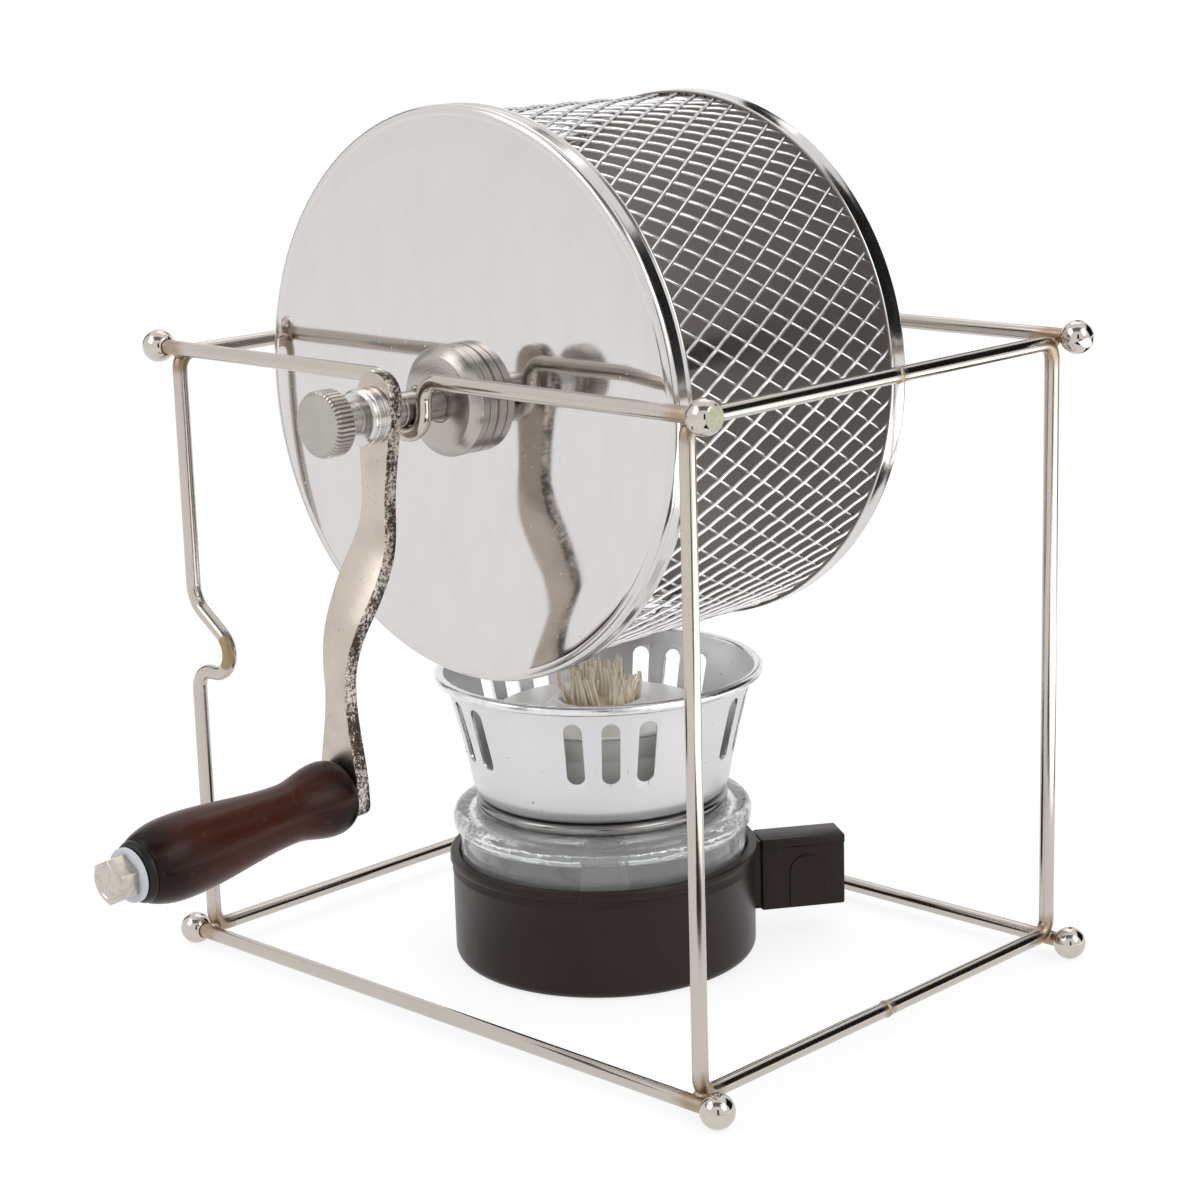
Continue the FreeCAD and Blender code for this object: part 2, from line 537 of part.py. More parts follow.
# Collar and knurled thumb screw that clamp the arm
crank_collar = turned("crank_collar", (
    ("collar_bore / 2", "collar_back"), ("collar_dia / 2 - 0.4", "collar_back"),
    ("collar_dia / 2", "collar_back + 0.4"), ("collar_dia / 2", "collar_front - 1.9"),
    ("collar_dia / 2 - 0.45", "collar_front - 1.6"), ("collar_dia / 2 - 0.45", "collar_front - 1.3"),
    ("collar_dia / 2", "collar_front - 1"), ("collar_dia / 2 - 0.1", "collar_front - 0.5"),
    ("collar_dia / 2 - 0.7", "collar_front"), ("collar_bore / 2", "collar_front")))
place_on_axle(crank_collar)
nodes.append(crank_collar)

thumb_screw = new_body("thumb_screw")
revolve(thumb_screw, (
    ("0", "knob_seat - stud_length"), ("stud_dia / 2 - 0.6", "knob_seat - stud_length"),
    ("stud_dia / 2", "knob_seat - stud_length + 0.6"), ("stud_dia / 2", "knob_seat"),
    ("knob_neck_dia / 2", "knob_seat"), ("knob_neck_dia / 2", "knob_seat + knob_neck"),
    ("knob_step_dia / 2", "knob_seat + knob_neck"),
    ("knob_step_dia / 2", "knob_seat + knob_neck + knob_step"),
    ("knob_dia / 2 - 0.5", "knob_seat + knob_neck + knob_step"),
    ("knob_dia / 2", "knob_seat + knob_neck + knob_step + 0.5"),
    ("knob_dia / 2", "knob_seat + knob_neck + knob_step + knob_length - 0.6"),
    ("knob_dia / 2 - 0.6", "knob_seat + knob_neck + knob_step + knob_length"),
    ("0", "knob_seat + knob_neck + knob_step + knob_length")))
groove_sketch = new_sketch(thumb_screw, "XY_Plane", "knurl_groove", "knob_seat + knob_neck - 1")
trace(groove_sketch, (("knob_dia / 2 - knurl_depth", "0"), ("knob_dia / 2 + 0.3", "-0.45"),
                      ("knob_dia / 2 + 0.3", "0.45")))
groove = thumb_screw.newObject("PartDesign::Pocket", "knurl_cut")
groove.Profile = groove_sketch
groove.Reversed = True
link(groove, "Length", "knob_step + knob_length + 4")
thumb_screw.Tip = groove
doc.recompute()
polar(thumb_screw, "knurl_ring", groove, "knurl_count", "360")
place_on_axle(thumb_screw)
nodes.append(thumb_screw)

# Grip: turned wood on a bolt, with an end ring and a washer
wood = [("bolt_bore / 2", "grip_gap"), ("grip_foot_dia / 2", "grip_gap")]
for i in range(1, 5):
    t = i / 4
    wood.append(("(grip_foot_dia + (grip_bulge_dia - grip_foot_dia) * %.6f) / 2"
                 % math.sqrt(1 - (1 - t) ** 2), "grip_gap + (grip_bulge_at - grip_gap) * %.6f" % t))
for low, high, start, stop in (
        ("grip_bulge_dia", "grip_waist_dia", "grip_bulge_at", "grip_waist_at"),
        ("grip_waist_dia", "grip_belly_dia", "grip_waist_at", "grip_belly_at")):
    wood += [("%s / 2" % w, p) for w, p in eased(start, stop, low, high, 7)]
for i in range(1, 6):
    t = i / 5
    wood.append(("(grip_end_dia + (grip_belly_dia - grip_end_dia) * %.6f) / 2" % (1 - t ** 2.4),
                 "grip_belly_at + (grip_gap + grip_length - grip_belly_at) * %.6f" % t))
wood.append(("bolt_bore / 2", "grip_gap + grip_length"))
grip = turned("grip", wood)
grip_ferrule = turned("grip_ferrule", (
    ("bolt_bore / 2", "ferrule_low"), ("ferrule_dia / 2", "ferrule_low"),
    ("ferrule_dia / 2", "ferrule_low + 0.6"), ("ferrule_dia / 2 - 0.8", "ferrule_low + ferrule_length"),
    ("bolt_bore / 2", "ferrule_low + ferrule_length")))
grip_washer = turned("grip_washer", (
    ("bolt_bore / 2", "washer_low"), ("washer_dia / 2", "washer_low"),
    ("washer_dia / 2", "washer_low + washer_thick - 0.3"),
    ("washer_dia / 2 - 0.3", "washer_low + washer_thick"),
    ("bolt_bore / 2", "washer_low + washer_thick")))

grip_bolt = new_body("grip_bolt")
head_sketch = new_sketch(grip_bolt, "XY_Plane", "bolt_hexagon", "head_low")
hexagon = []
for turn in range(0, 360, 60):
    across = "bolt_flats / sqrt(3) * %.6f" % (2 * math.cos(math.radians(turn)) / 2)
    up = "0" if turn in (0, 180) else "bolt_flats / 2 * %d" % (1 if turn < 180 else -1)
    hexagon.append((across, up))
trace(head_sketch, hexagon)
head = grip_bolt.newObject("PartDesign::Pad", "bolt_head")
head.Profile = head_sketch
link(head, "Length", "bolt_head")
grip_bolt.Tip = head
doc.recompute()
shank_sketch = new_sketch(grip_bolt, "XY_Plane", "bolt_shank", "-arm_thick + 0.2")
add_circle(shank_sketch, "0", "0", "bolt_dia / 2")
shank = grip_bolt.newObject("PartDesign::Pad", "bolt_shank_pad")
shank.Profile = shank_sketch
link(shank, "Length", "head_low + arm_thick")
grip_bolt.Tip = shank
doc.recompute()
crown_sketch = new_sketch(grip_bolt, "XZ_Plane", "bolt_crown")
trace(crown_sketch, (
    ("bolt_flats / 2 - 0.2", "head_low + bolt_head"),
    ("bolt_flats / 2 + 1.6", "head_low + bolt_head - bolt_chamfer"),
    ("bolt_flats / 2 + 1.6", "head_low + bolt_head + 1"),
    ("bolt_flats / 2 - 0.2", "head_low + bolt_head + 1")))
crown = grip_bolt.newObject("PartDesign::Groove", "bolt_crown_turning")
crown.Profile = crown_sketch
crown.ReferenceAxis = (crown_sketch, ["V_Axis"])
crown.Angle = 360
grip_bolt.Tip = crown
for piece in (grip, grip_ferrule, grip_washer, grip_bolt):
    place(piece, x="grip_x", y="-grip_reach", z="grip_z", pitch="rest_angle",
          roll="90 + arm_lean")
    nodes.append(piece)

# Burner: moulded cup with a flat handle
burner_base = new_body("burner_base")
revolve(burner_base, (
    ("0", "0"), ("cup_radius - cup_corner", "0", "arc"), ("cup_radius", "cup_corner"),
    ("cup_radius", "cup_height - cup_rim_height - cup_rim_step"),
    ("cup_radius + cup_rim_step", "cup_height - cup_rim_height"),
    ("cup_radius + cup_rim_step", "cup_height - 0.4"),
    ("cup_radius + cup_rim_step - 0.4", "cup_height"), ("cup_inner", "cup_height"),
    ("cup_inner", "cup_floor"), ("0", "cup_floor")))
handle_sketch = new_sketch(burner_base, "XY_Plane", "handle_outline", "handle_bottom")
trace(handle_sketch, (
    ("cup_inner + 0.7", "-handle_thick / 2"), ("handle_reach", "-handle_thick / 2"),
    ("handle_reach", "handle_thick / 2"), ("cup_inner + 0.7", "handle_thick / 2")))
handle = burner_base.newObject("PartDesign::Pad", "handle_block")
handle.Profile = handle_sketch
link(handle, "Length", "handle_top - handle_bottom")
burner_base.Tip = handle
doc.recompute()
outer_edges = []
for index, edge in enumerate(handle.Shape.Edges, 1):
    if abs(edge.CenterOfMass.x - number("handle_reach")) < 0.01:
        outer_edges.append("Edge%d" % index)
rounding = burner_base.newObject("PartDesign::Fillet", "handle_rounding")
rounding.Base = (handle, outer_edges)
link(rounding, "Radius", "handle_round")
burner_base.Tip = rounding
place(burner_base, x="burner_x", y="burner_y", yaw="handle_angle")
nodes.append(burner_base)

# Glass jar with a thick lip and a neck inside the wind shield, and the fuel in it
fuel_jar = turned("fuel_jar", (
    ("0", "jar_foot"), ("jar_radius - jar_corner", "jar_foot", "arc"),
    ("jar_radius", "jar_foot + jar_corner"), ("jar_radius", "jar_lip_low"),
    ("jar_lip_radius - jar_lip_under", "jar_lip_low", "arc"),
    ("jar_lip_radius", "jar_lip_low + jar_lip_under"),
    ("jar_lip_radius", "jar_lip_top - jar_lip_round", "arc"),
    ("jar_lip_radius - jar_lip_round", "jar_lip_top"), ("jar_neck_radius", "jar_lip_top"),
    ("jar_neck_radius", "jar_mouth"), ("neck_inner", "jar_mouth"),
    ("neck_inner", "shoulder_low"), ("jar_inner", "shoulder_low - 1.5"),
    ("jar_inner", "jar_foot + jar_corner"),
    ("jar_inner - 1.5", "jar_foot + jar_wall"), ("0", "jar_foot + jar_wall")))
fuel = turned("fuel", (
    ("wick_stem + fuel_fit", "jar_foot + jar_wall + fuel_fit"),
    ("jar_inner - 1.5 - fuel_fit", "jar_foot + jar_wall + fuel_fit"),
    ("jar_inner - fuel_fit", "jar_foot + jar_corner + fuel_fit"),
    ("jar_inner - fuel_fit", "shoulder_low - 1.5 - fuel_fit"),
    ("neck_inner - fuel_fit", "shoulder_low - fuel_fit"),
    ("neck_inner - fuel_fit", "fuel_level"), ("wick_stem + fuel_fit", "fuel_level")))
mouth_cap = turned("mouth_cap", (
    ("holder_radius + cap_fit", "cap_low"), ("neck_inner - cap_fit - cap_sheet", "cap_low"),
    ("neck_inner - cap_fit - cap_sheet", "cap_low - cap_skirt"),
    ("neck_inner - cap_fit", "cap_low - cap_skirt"), ("neck_inner - cap_fit", "cap_low"),
    ("jar_neck_radius - 0.3", "cap_low"), ("jar_neck_radius", "cap_low + 0.3"),
    ("jar_neck_radius - 0.3", "cap_top"), ("holder_radius + cap_fit", "cap_top")))
wick_holder = turned("wick_holder", (
    ("holder_bore", "holder_bottom"), ("holder_radius", "holder_bottom"),
    ("holder_radius", "cap_top + stack_gap"), ("holder_flange", "cap_top + stack_gap"),
    ("holder_flange", "cap_top + stack_gap + holder_flange_thick"),
    ("holder_radius", "cap_top + stack_gap + holder_flange_thick"),
    ("holder_radius", "holder_top - 0.7"), ("holder_radius - 0.7", "holder_top"),
    ("holder_bore + 0.5", "holder_top"), ("holder_bore", "holder_top - 0.5")))
wick = turned("wick", (
    ("0", "wick_foot"), ("wick_stem", "wick_foot"), ("wick_stem", "holder_bottom + 1"),
    ("holder_bore - wick_fit", "holder_bottom + 2.5"), ("holder_bore - wick_fit", "holder_top"),
    ("wick_flare - 0.5", "holder_top + (wick_top - holder_top) * 0.4"),
    ("wick_flare", "holder_top + (wick_top - holder_top) * 0.62"),
    ("wick_flare - 1.5", "wick_top - 1.2"), ("holder_bore - 4", "wick_top"), ("0", "wick_top")))

# Ring on the jar's shoulder and the slotted wind shield above it
shield_ring = turned("shield_ring", (
    ("jar_neck_radius + ring_fit", "ring_low"), ("ring_radius - 1", "ring_low"),
    ("ring_radius", "ring_low + 1"), ("ring_radius", "ring_top - 1"),
    ("ring_radius - 1", "ring_top"), ("jar_neck_radius + ring_fit", "ring_top")))
wind_shield = new_body("wind_shield")
revolve(wind_shield, (
    ("jar_neck_radius + ring_fit", "shield_low"), ("shield_floor_radius", "shield_low", "arc"),
    ("shield_heel_radius", "shield_low + shield_heel_height"),
    ("shield_top_radius", "bead_z - bead_radius - 0.4"),
    ("shield_top_radius + 0.8", "bead_z - bead_radius"), ("bead_r", "bead_z - bead_radius", "arc"),
    ("shield_rim_radius", "bead_z", "arc"), ("bead_r", "bead_z + bead_radius", "arc"),
    ("bead_r - bead_radius", "bead_z"), ("shield_top_radius - shield_sheet", "bead_z - 2.2"),
    ("shield_heel_radius - shield_sheet", "shield_low + shield_heel_height"),
    ("shield_floor_radius - 0.2", "shield_low + shield_sheet"),
    ("jar_neck_radius + ring_fit", "shield_low + shield_sheet")))
slot_sketch = new_sketch(wind_shield, "YZ_Plane", "slot_outline")
trace(slot_sketch, (
    ("slot_width / 2", "slot_low + slot_width / 2"),
    ("slot_width / 2", "slot_high - slot_width / 2", "arc"),
    ("-slot_width / 2", "slot_high - slot_width / 2"),
    ("-slot_width / 2", "slot_low + slot_width / 2", "arc")))
slot = wind_shield.newObject("PartDesign::Pocket", "slot_cut")
slot.Profile = slot_sketch
slot.Reversed = True
link(slot, "Length", "shield_rim_radius + 5")
wind_shield.Tip = slot
doc.recompute()
slots = wind_shield.newObject("PartDesign::MultiTransform", "slot_rows")
slots.Originals = [slot]
wind_shield.Tip = slots
rows = []
for label, angle, count in (("slot_group", "slot_spread", 3), ("slot_groups", "360", 5)):
    row = wind_shield.newObject("PartDesign::PolarPattern", label)
    row.Axis = (origin_item(wind_shield, "Z_Axis"), [""])
    link(row, "Angle", angle)
    row.Occurrences = count
    rows.append(row)
slots.Transformations = rows
wind_shield.Tip = slots
place(wind_shield, x="burner_x", y="burner_y", yaw="slot_front - slot_spread / 2")
for piece in (fuel_jar, fuel, mouth_cap, wick_holder, wick, shield_ring):
    place(piece, x="burner_x", y="burner_y")
nodes += [fuel_jar, fuel, mouth_cap, wick_holder, wick, shield_ring, wind_shield]

# Every feature and every finished piece is checked before anything is written
doc.recompute()
for thing in doc.Objects:
    if "Invalid" in thing.State or "Error" in thing.State:
        raise RuntimeError("%s did not build: %s" % (thing.Label, thing.State))
for node in nodes:
    shape = node.Shape
    if shape.isNull() or not shape.isValid() or shape.Volume <= 0:
        raise RuntimeError("%s has no sound shape" % node.Label)

os.makedirs("parts", exist_ok=True)
for node in nodes:
    node.Shape.exportStep("parts/%s.step" % node.Label)
    size = node.Shape.BoundBox
    print("%-26s x %.1f..%.1f  y %.1f..%.1f  z %.1f..%.1f  %.0f mm3" % (
        node.Label, size.XMin, size.XMax, size.YMin, size.YMax, size.ZMin, size.ZMax,
        node.Shape.Volume))
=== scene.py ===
import math
import random

import bpy
from mathutils import Matrix, Vector


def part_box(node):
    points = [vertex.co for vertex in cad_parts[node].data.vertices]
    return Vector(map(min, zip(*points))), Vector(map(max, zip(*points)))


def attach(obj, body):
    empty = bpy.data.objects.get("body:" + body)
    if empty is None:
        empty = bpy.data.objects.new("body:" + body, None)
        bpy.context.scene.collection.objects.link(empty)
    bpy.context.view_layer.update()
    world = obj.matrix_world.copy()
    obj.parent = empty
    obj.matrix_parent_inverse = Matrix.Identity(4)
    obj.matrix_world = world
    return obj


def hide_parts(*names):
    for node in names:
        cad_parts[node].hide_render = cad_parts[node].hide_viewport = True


bl_info = {
    "name": "Stovetop Bean Roaster",
    "version": (1, 0, 0),
    "blender": (4, 5, 0),
    "location": "View3D > Sidebar > Roaster",
    "description": "Hand-cranked bean roaster: wire stand, mesh drum, crank and alcohol burner",
    "category": "Object",
}

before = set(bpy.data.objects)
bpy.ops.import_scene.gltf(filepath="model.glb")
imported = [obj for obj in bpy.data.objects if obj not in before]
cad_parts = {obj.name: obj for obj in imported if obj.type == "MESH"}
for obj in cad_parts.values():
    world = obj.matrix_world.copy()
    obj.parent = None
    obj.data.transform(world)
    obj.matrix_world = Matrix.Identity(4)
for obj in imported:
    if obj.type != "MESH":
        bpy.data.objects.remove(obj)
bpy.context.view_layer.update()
MM = 0.001
BALL = 8.8
WIRE = 4


def span(node):
    """Lowest and highest corner of a node of the frame, in millimetres."""
    low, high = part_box(node)
    return low / MM, high / MM


def middle(node):
    low, high = span(node)
    return (low + high) / 2


# Places that the frame fixes, in millimetres
AXLE_Z = middle("drum_shaft").z
ROD_Y = middle("bottom_back_rod").y
LOW_Z = middle("bottom_back_rod").z
TOP_Z = middle("top_back_left_ball").z
BALL_X = span("top_back_right_ball")[1].x - BALL / 2
LOOP_X = middle("right_loop").x
LOOP_Y = span("right_loop")[1].y - WIRE / 2
LOOP_LOW = span("right_loop")[0].z + WIRE / 2
LOOP_HIGH = span("right_loop")[1].z - WIRE / 2
SEAT_Z = (LOOP_LOW + LOOP_HIGH) / 2
BURNER = middle("wind_shield")
GRIP_ROOT = Vector((-7.493, -93.99, 67.304))
REST_TURN = math.radians(4.5)
ARM_LEAN = math.radians(3.5)
HANDLE_TURN = math.radians(55)
SLOT_TURN = math.radians(-56.3)
CAMERA = Vector((504.968, -528.989, 276.487))

# Places of the stage, in metres
AIM = Vector((0, 0, 0.1))
STRIP_END = 2.2


def size(label, text, value):
    return bpy.props.FloatProperty(name=label, description=text, default=value * MM, min=0,
                                   precision=4, subtype="DISTANCE", unit="LENGTH")


def angle(label, text, degrees):
    return bpy.props.FloatProperty(name=label, description=text, default=math.radians(degrees),
                                   subtype="ANGLE", unit="ROTATION")


def count(label, text, value):
    return bpy.props.IntProperty(name=label, description=text, default=value, min=3)


def colour(label, text, value):
    return bpy.props.FloatVectorProperty(name=label, description=text, default=value, size=3,
                                         min=0, max=1, subtype="COLOR")


class RoasterStand(bpy.types.PropertyGroup):
    wire: size("Wire", "Diameter of the stand's wire", WIRE)
    ball: size("Ball", "Diameter of the balls on the rod ends", BALL)
    corner: size("Corner bend", "Centre radius of the loops' corners", 4.5)
    flare: size("Seat flare", "Centre radius of the bends beside a seat", 5.5)
    seat: size("Seat bend", "Centre radius of a seat's half turn", 6.31)
    depth: size("Seat depth", "How far a seat dips from the straight wire", 13.9)
    slope: angle("Seat slope", "Slope of the side seats' upper flank", 55)
    sweep: size("Seat sweep", "Centre radius of the bend above a side seat", 9)
    weld: size("Weld", "Length of the weld bead at a corner", 4.6)
    nickel: colour("Nickel", "Nickel plating of the wires", (0.53, 0.485, 0.44))
    stain: colour("Stain", "Heat stain beside the welds", (0.30, 0.20, 0.10))


class RoasterDrum(bpy.types.PropertyGroup):
    lid: size("Lid radius", "Outer radius of the front lid", 72.78)
    skirt: size("Lid skirt", "Depth of the lid's skirt", 6.7)
    back: size("Back radius", "Outer radius of the back plate", 71.2)
    rim: size("Back rim", "Depth of the back plate's rim", 6.3)
    wires: count("Wires", "Wires in each of the two families of the weave", 68)
    pitch: size("Pitch", "Length of one full turn of a wire", 767)
    wire: size("Mesh wire", "Diameter of the mesh wire", 0.9)
    hub: size("Hub", "Diameter of the nut that holds the lid", 28)
    mirror: colour("Mirror steel", "Polished sheet of the drum's ends", (0.655, 0.635, 0.625))
    # Inner face colour: dull sheet, darkened partly as painted shade of the drum's dim inside
    inside: colour("Inner face", "Dull inner face of the drum's ends", (0.30, 0.27, 0.25))
    mesh: colour("Mesh", "Wire of the drum's wall", (0.78, 0.77, 0.77))
    steel: colour("Turned steel", "Hub, shaft, collar and knob", (0.46, 0.43, 0.40))


class RoasterCrank(bpy.types.PropertyGroup):
    thick: size("Arm thickness", "Thickness of the crank arm", 3.9)
    knurls: count("Knurls", "Grooves round the thumb screw", 44)
    knob: size("Knob", "Diameter of the thumb screw", 16.4)
    grip: size("Grip", "Length of the wooden grip", 62.2)
    cast: colour("Casting", "Nickel-plated casting of the arm", (0.58, 0.51, 0.45))
    # Cast edge colour: painted highlights on the raised spots of the arm's rough edge
    rough: colour("Cast edge", "Bright spots on the arm's rough edge", (0.72, 0.66, 0.60))
    wood: colour("Wood", "Middle of the grip", (0.052, 0.0130, 0.0072))
    dark: colour("Dark wood", "Ends and grain of the grip", (0.0090, 0.0036, 0.0030))
    washer: colour("Washer", "Plastic washer under the bolt", (0.50, 0.53, 0.56))


class RoasterBurner(bpy.types.PropertyGroup):
    cup: size("Cup radius", "Radius of the burner's cup", 41.7)
    height: size("Cup height", "Height of the burner's cup", 30.2)
    reach: size("Handle reach", "Distance from the cup's middle to the handle's end", 67.8)
    lip: size("Glass lip", "Radius of the jar's thick lip", 41)
    rim: size("Shield rim", "Radius of the wind shield's rolled rim", 44.8)
    strands: count("Strands", "Cotton strands in the wick's tuft", 210)
    plastic: colour("Plastic", "Moulded cup and handle", (0.0165, 0.0098, 0.0085))
    glass: colour("Glass", "Tint of the jar", (0.955, 0.975, 0.965))
    shield: colour("Aluminium", "Wind shield", (0.765, 0.755, 0.77))
    ceramic: colour("Ceramic", "Glazed wick holder", (0.90, 0.89, 0.86))
    cotton: colour("Cotton", "Strands of the wick", (0.93, 0.82, 0.62))


class RoasterStage(bpy.types.PropertyGroup):
    azimuth: angle("Azimuth", "Camera's place round the roaster", 43.99)
    elevation: angle("Elevation", "Camera's tilt downwards", 13.56)
    roll: angle("Roll", "Camera's turn about its line of sight", -1.63)
    lens: bpy.props.FloatProperty(name="Lens", description="Focal length on a 36 mm sensor",
                                  default=83.76, subtype="DISTANCE_CAMERA")
    backdrop: colour("Backdrop", "Floor and background", (1.0, 1.0, 1.0))
    fill: bpy.props.FloatProperty(name="Fill", description="Strength of the light from all round",
                                  default=1.0, min=0)


GROUPS = {"stand": RoasterStand, "drum": RoasterDrum, "crank": RoasterCrank,
          "burner": RoasterBurner, "stage": RoasterStage}


def settings(name):
    return getattr(bpy.context.scene, "roaster_" + name)


class Field:
    """A node's output with arithmetic, so that a pattern is written as an expression."""

    def __init__(self, paint, socket):
        self.paint = paint
        self.socket = socket

    def _math(self, operation, *values):
        return self.paint.node("ShaderNodeMath", {"operation": operation},
                               dict(enumerate(values)))

    def __add__(self, other):
        return self._math("ADD", self, other)

    def __sub__(self, other):
        return self._math("SUBTRACT", self, other)

    def __rsub__(self, other):
        return self._math("SUBTRACT", other, self)

    def __mul__(self, other):
        return self._math("MULTIPLY", self, other)

    __radd__ = __add__
    __rmul__ = __mul__

    def size(self):
        return self._math("ABSOLUTE", self)

    def root(self):
        return self._math("SQRT", self)

    def most(self, other):
        return self._math("MAXIMUM", self, other)

    def least(self, other):
        return self._math("MINIMUM", self, other)

    def fade(self, start, stop):
        """0 before start and 1 past stop, smooth between; start may be the larger."""
        low, high = min(start, stop), max(start, stop)
        made = self.paint.node("ShaderNodeMapRange", {"interpolation_type": "SMOOTHSTEP"},
                               {"Value": self, "From Min": low, "From Max": high})
        return made if start < stop else 1 - made


class Paint:
    """A material, or the world: its nodes are made and linked by a single method."""

    def __init__(self, name, world=False):
        self.kind = "World" if world else "Material"
        self.made = (bpy.data.worlds if world else bpy.data.materials).new(name)
        self.made.use_nodes = True
        self.made.node_tree.nodes.clear()
        if not world:
            self.place = self.node("ShaderNodeTexCoord", output="Object")

    def node(self, kind, choices=None, sockets=None, output=0):
        tree = self.made.node_tree
        made = tree.nodes.new(kind)
        for key, value in (choices or {}).items():
            setattr(made, key, value)
        for key, value in (sockets or {}).items():
            socket = made.inputs[key]
            if isinstance(value, Field):
                tree.links.new(value.socket, socket)
            else:
                socket.default_value = (*value, 1) if socket.type == "RGBA" else value
        if isinstance(output, tuple):
            return [Field(self, made.outputs[i]) for i in output]
        return Field(self, made.outputs[output]) if made.outputs else None

    def parts(self, vector=None):
        """X, Y and Z of a vector in millimetres."""
        scaled = self.node("ShaderNodeVectorMath", {"operation": "SCALE"},
                           {0: vector or self.place, "Scale": 1 / MM})
        return self.node("ShaderNodeSeparateXYZ", None, {0: scaled}, (0, 1, 2))

    def vector(self, x, y, z):
        return self.node("ShaderNodeCombineXYZ", None, {0: x, 1: y, 2: z})

    def noise(self, grain, detail=3.0, rough=0.5, seed=0.0, stretch=(1, 1, 1), at=None):
        """Noise from 0 to 1 whose patches are about grain millimetres across."""
        mapped = self.node("ShaderNodeMapping", None, {
            "Vector": at or self.place, "Location": (seed, seed * 0.7, seed * 1.3),
            "Scale": tuple(1 / MM / grain / s for s in stretch)})
        return self.node("ShaderNodeTexNoise", {"noise_dimensions": "3D"},
                         {"Vector": mapped, "Scale": 1.0, "Detail": detail, "Roughness": rough})

    def blend(self, share, first, second):
        return self.node("ShaderNodeMix", {"data_type": "RGBA"}, {0: share, 6: first, 7: second}, 2)

    def bump(self, height, depth):
        """Height from 0 to 1 over a depth in millimetres."""
        return self.node("ShaderNodeBump", None, {"Height": height, "Distance": depth * MM,
                                                  "Strength": 1.0})

    def shader(self, **sockets):
        return self.node("ShaderNodeBsdfPrincipled", None,
                         {key.replace("_", " "): value for key, value in sockets.items()})

    def mixed(self, share, first, second):
        return self.node("ShaderNodeMixShader", None, {0: share, 1: first, 2: second})

    def done(self, shader):
        self.node("ShaderNodeOutput" + self.kind, None, {"Surface": shader})
        return self.made


def shade(tone, by):
    return tuple(part * by for part in tone)


def mottled(name, first, second, grain, rough, relief, depth, share=None, **constants):
    """A finish that wanders between two colours: rough is its gain and base."""
    p = Paint(name)
    dull = p.noise(*grain)
    lumps = p.noise(*relief) if relief else dull
    return p.done(p.shader(
        Base_Color=p.blend(dull.fade(*share) if share else dull, first, second),
        Roughness=dull * rough[0] + rough[1] if rough[0] else rough[1],
        Normal=p.bump(lumps, depth), **constants))


def nickel_wire(stand):
    """Softly polished plating with a faint fine grain, heat stains at the welds."""
    p = Paint("nickel_wire")
    x, y, z = p.parts()
    fx = x.size() - LOOP_X
    fy = y.size() - (ROD_Y - 1.5)
    fz = (z - (TOP_Z + LOW_Z) / 2).size() - ((TOP_Z - LOW_Z) / 2 - 1.5)
    cloud = p.noise(3.5, 4, 0.6)
    corner = (fx * fx + fy * fy + fz * fz).root() + (cloud - 0.5) * 7
    stained = corner.fade(8.5, 2.5)
    seam = (y - (z - LOW_Z).fade(0, 90) * 5.6).size().fade(2.5, 1.9) * (x - 80).fade(0, 4)
    kx, ky, kz = (x + 77.7) * 0.40, (y + LOOP_Y + 1.3) * 0.40, (z - SEAT_Z - 0.6) * 0.21
    kink = (kx * kx + ky * ky + kz * kz).root().fade(1.06, 0.94)
    marks = (stained * 0.75).most(seam * 0.45)
    dull = p.noise(14, 3, 0.55, seed=4.0)
    clean = p.blend((dull - 0.35) * 0.5, stand.nickel, shade(stand.nickel, 0.86))
    worn = p.blend(marks, clean, stand.stain)
    return p.done(p.shader(
        Base_Color=p.blend(kink, worn, (0.36, 0.28, 0.15)), Metallic=1.0,
        Roughness=dull * 0.10 + 0.09 + marks * 0.28 + kink * 0.35,
        Normal=p.bump(p.noise(0.7, 3, 0.6) * (marks + 0.10), 0.05)))


def ball_nickel(stand):
    return mottled("ball_nickel", shade(stand.nickel, 1.1), stand.nickel, (5, 4, 0.6, 2.0),
                   (0.12, 0.03), (1.6, 2), 0.012, (0.4, 0.75), Metallic=1.0)


def ground_flat():
    """Matte, faintly green end of a rod that was ground flush."""
    return mottled("ground_flat", (0.36, 0.37, 0.26), (0.50, 0.49, 0.38), (0.5, 3, 0.7),
                   (0, 0.6), None, 0.05, (0.35, 0.7), Metallic=0.6)


def weld_metal(stand):
    return mottled("weld_metal", stand.stain, (0.52, 0.46, 0.38), (0.9, 4, 0.65),
                   (0.5, 0.2), None, 0.25, (0.38, 0.62), Metallic=1.0)


def mirror_steel(drum):
    """Polished sheet: a faint waviness, cloudy wipe marks and a few specks."""
    p = Paint("mirror_steel")
    wave = p.noise(48, 2, 0.4)
    haze = p.noise(9, 5, 0.62, stretch=(1, 1, 1.8), seed=3.0)
    speck = p.noise(0.9, 1, 0.5, seed=8.0).fade(0.74, 0.80)
    tint = p.blend(haze.fade(0.35, 0.75) * 0.5, drum.mirror, shade(drum.mirror, 0.93))
    return p.done(p.shader(
        Base_Color=p.blend(speck * 0.5, tint, (0.8, 0.78, 0.76)), Metallic=1.0,
        Roughness=haze * 0.07 + 0.035 + speck * 0.2,
        Normal=p.bump(wave + speck * 0.02, 0.35)))


def inner_steel(drum):
    """The drum's inner faces: unpolished sheet, darkened to a brown-grey partly as painted shade of
    the drum's dim inside.
    """
    return mottled("inner_steel", drum.inside, shade(drum.inside, 0.72), (30, 4, 0.5),
                   (0.12, 0.30), (14, 3), 0.12, Metallic=1.0)


def rim_steel(drum):
    return mottled("rim_steel", shade(drum.mirror, 1.05), shade(drum.mirror, 0.9), (6, 4, 0.6),
                   (0.14, 0.08), (2.5, 3), 0.02, Metallic=1.0)


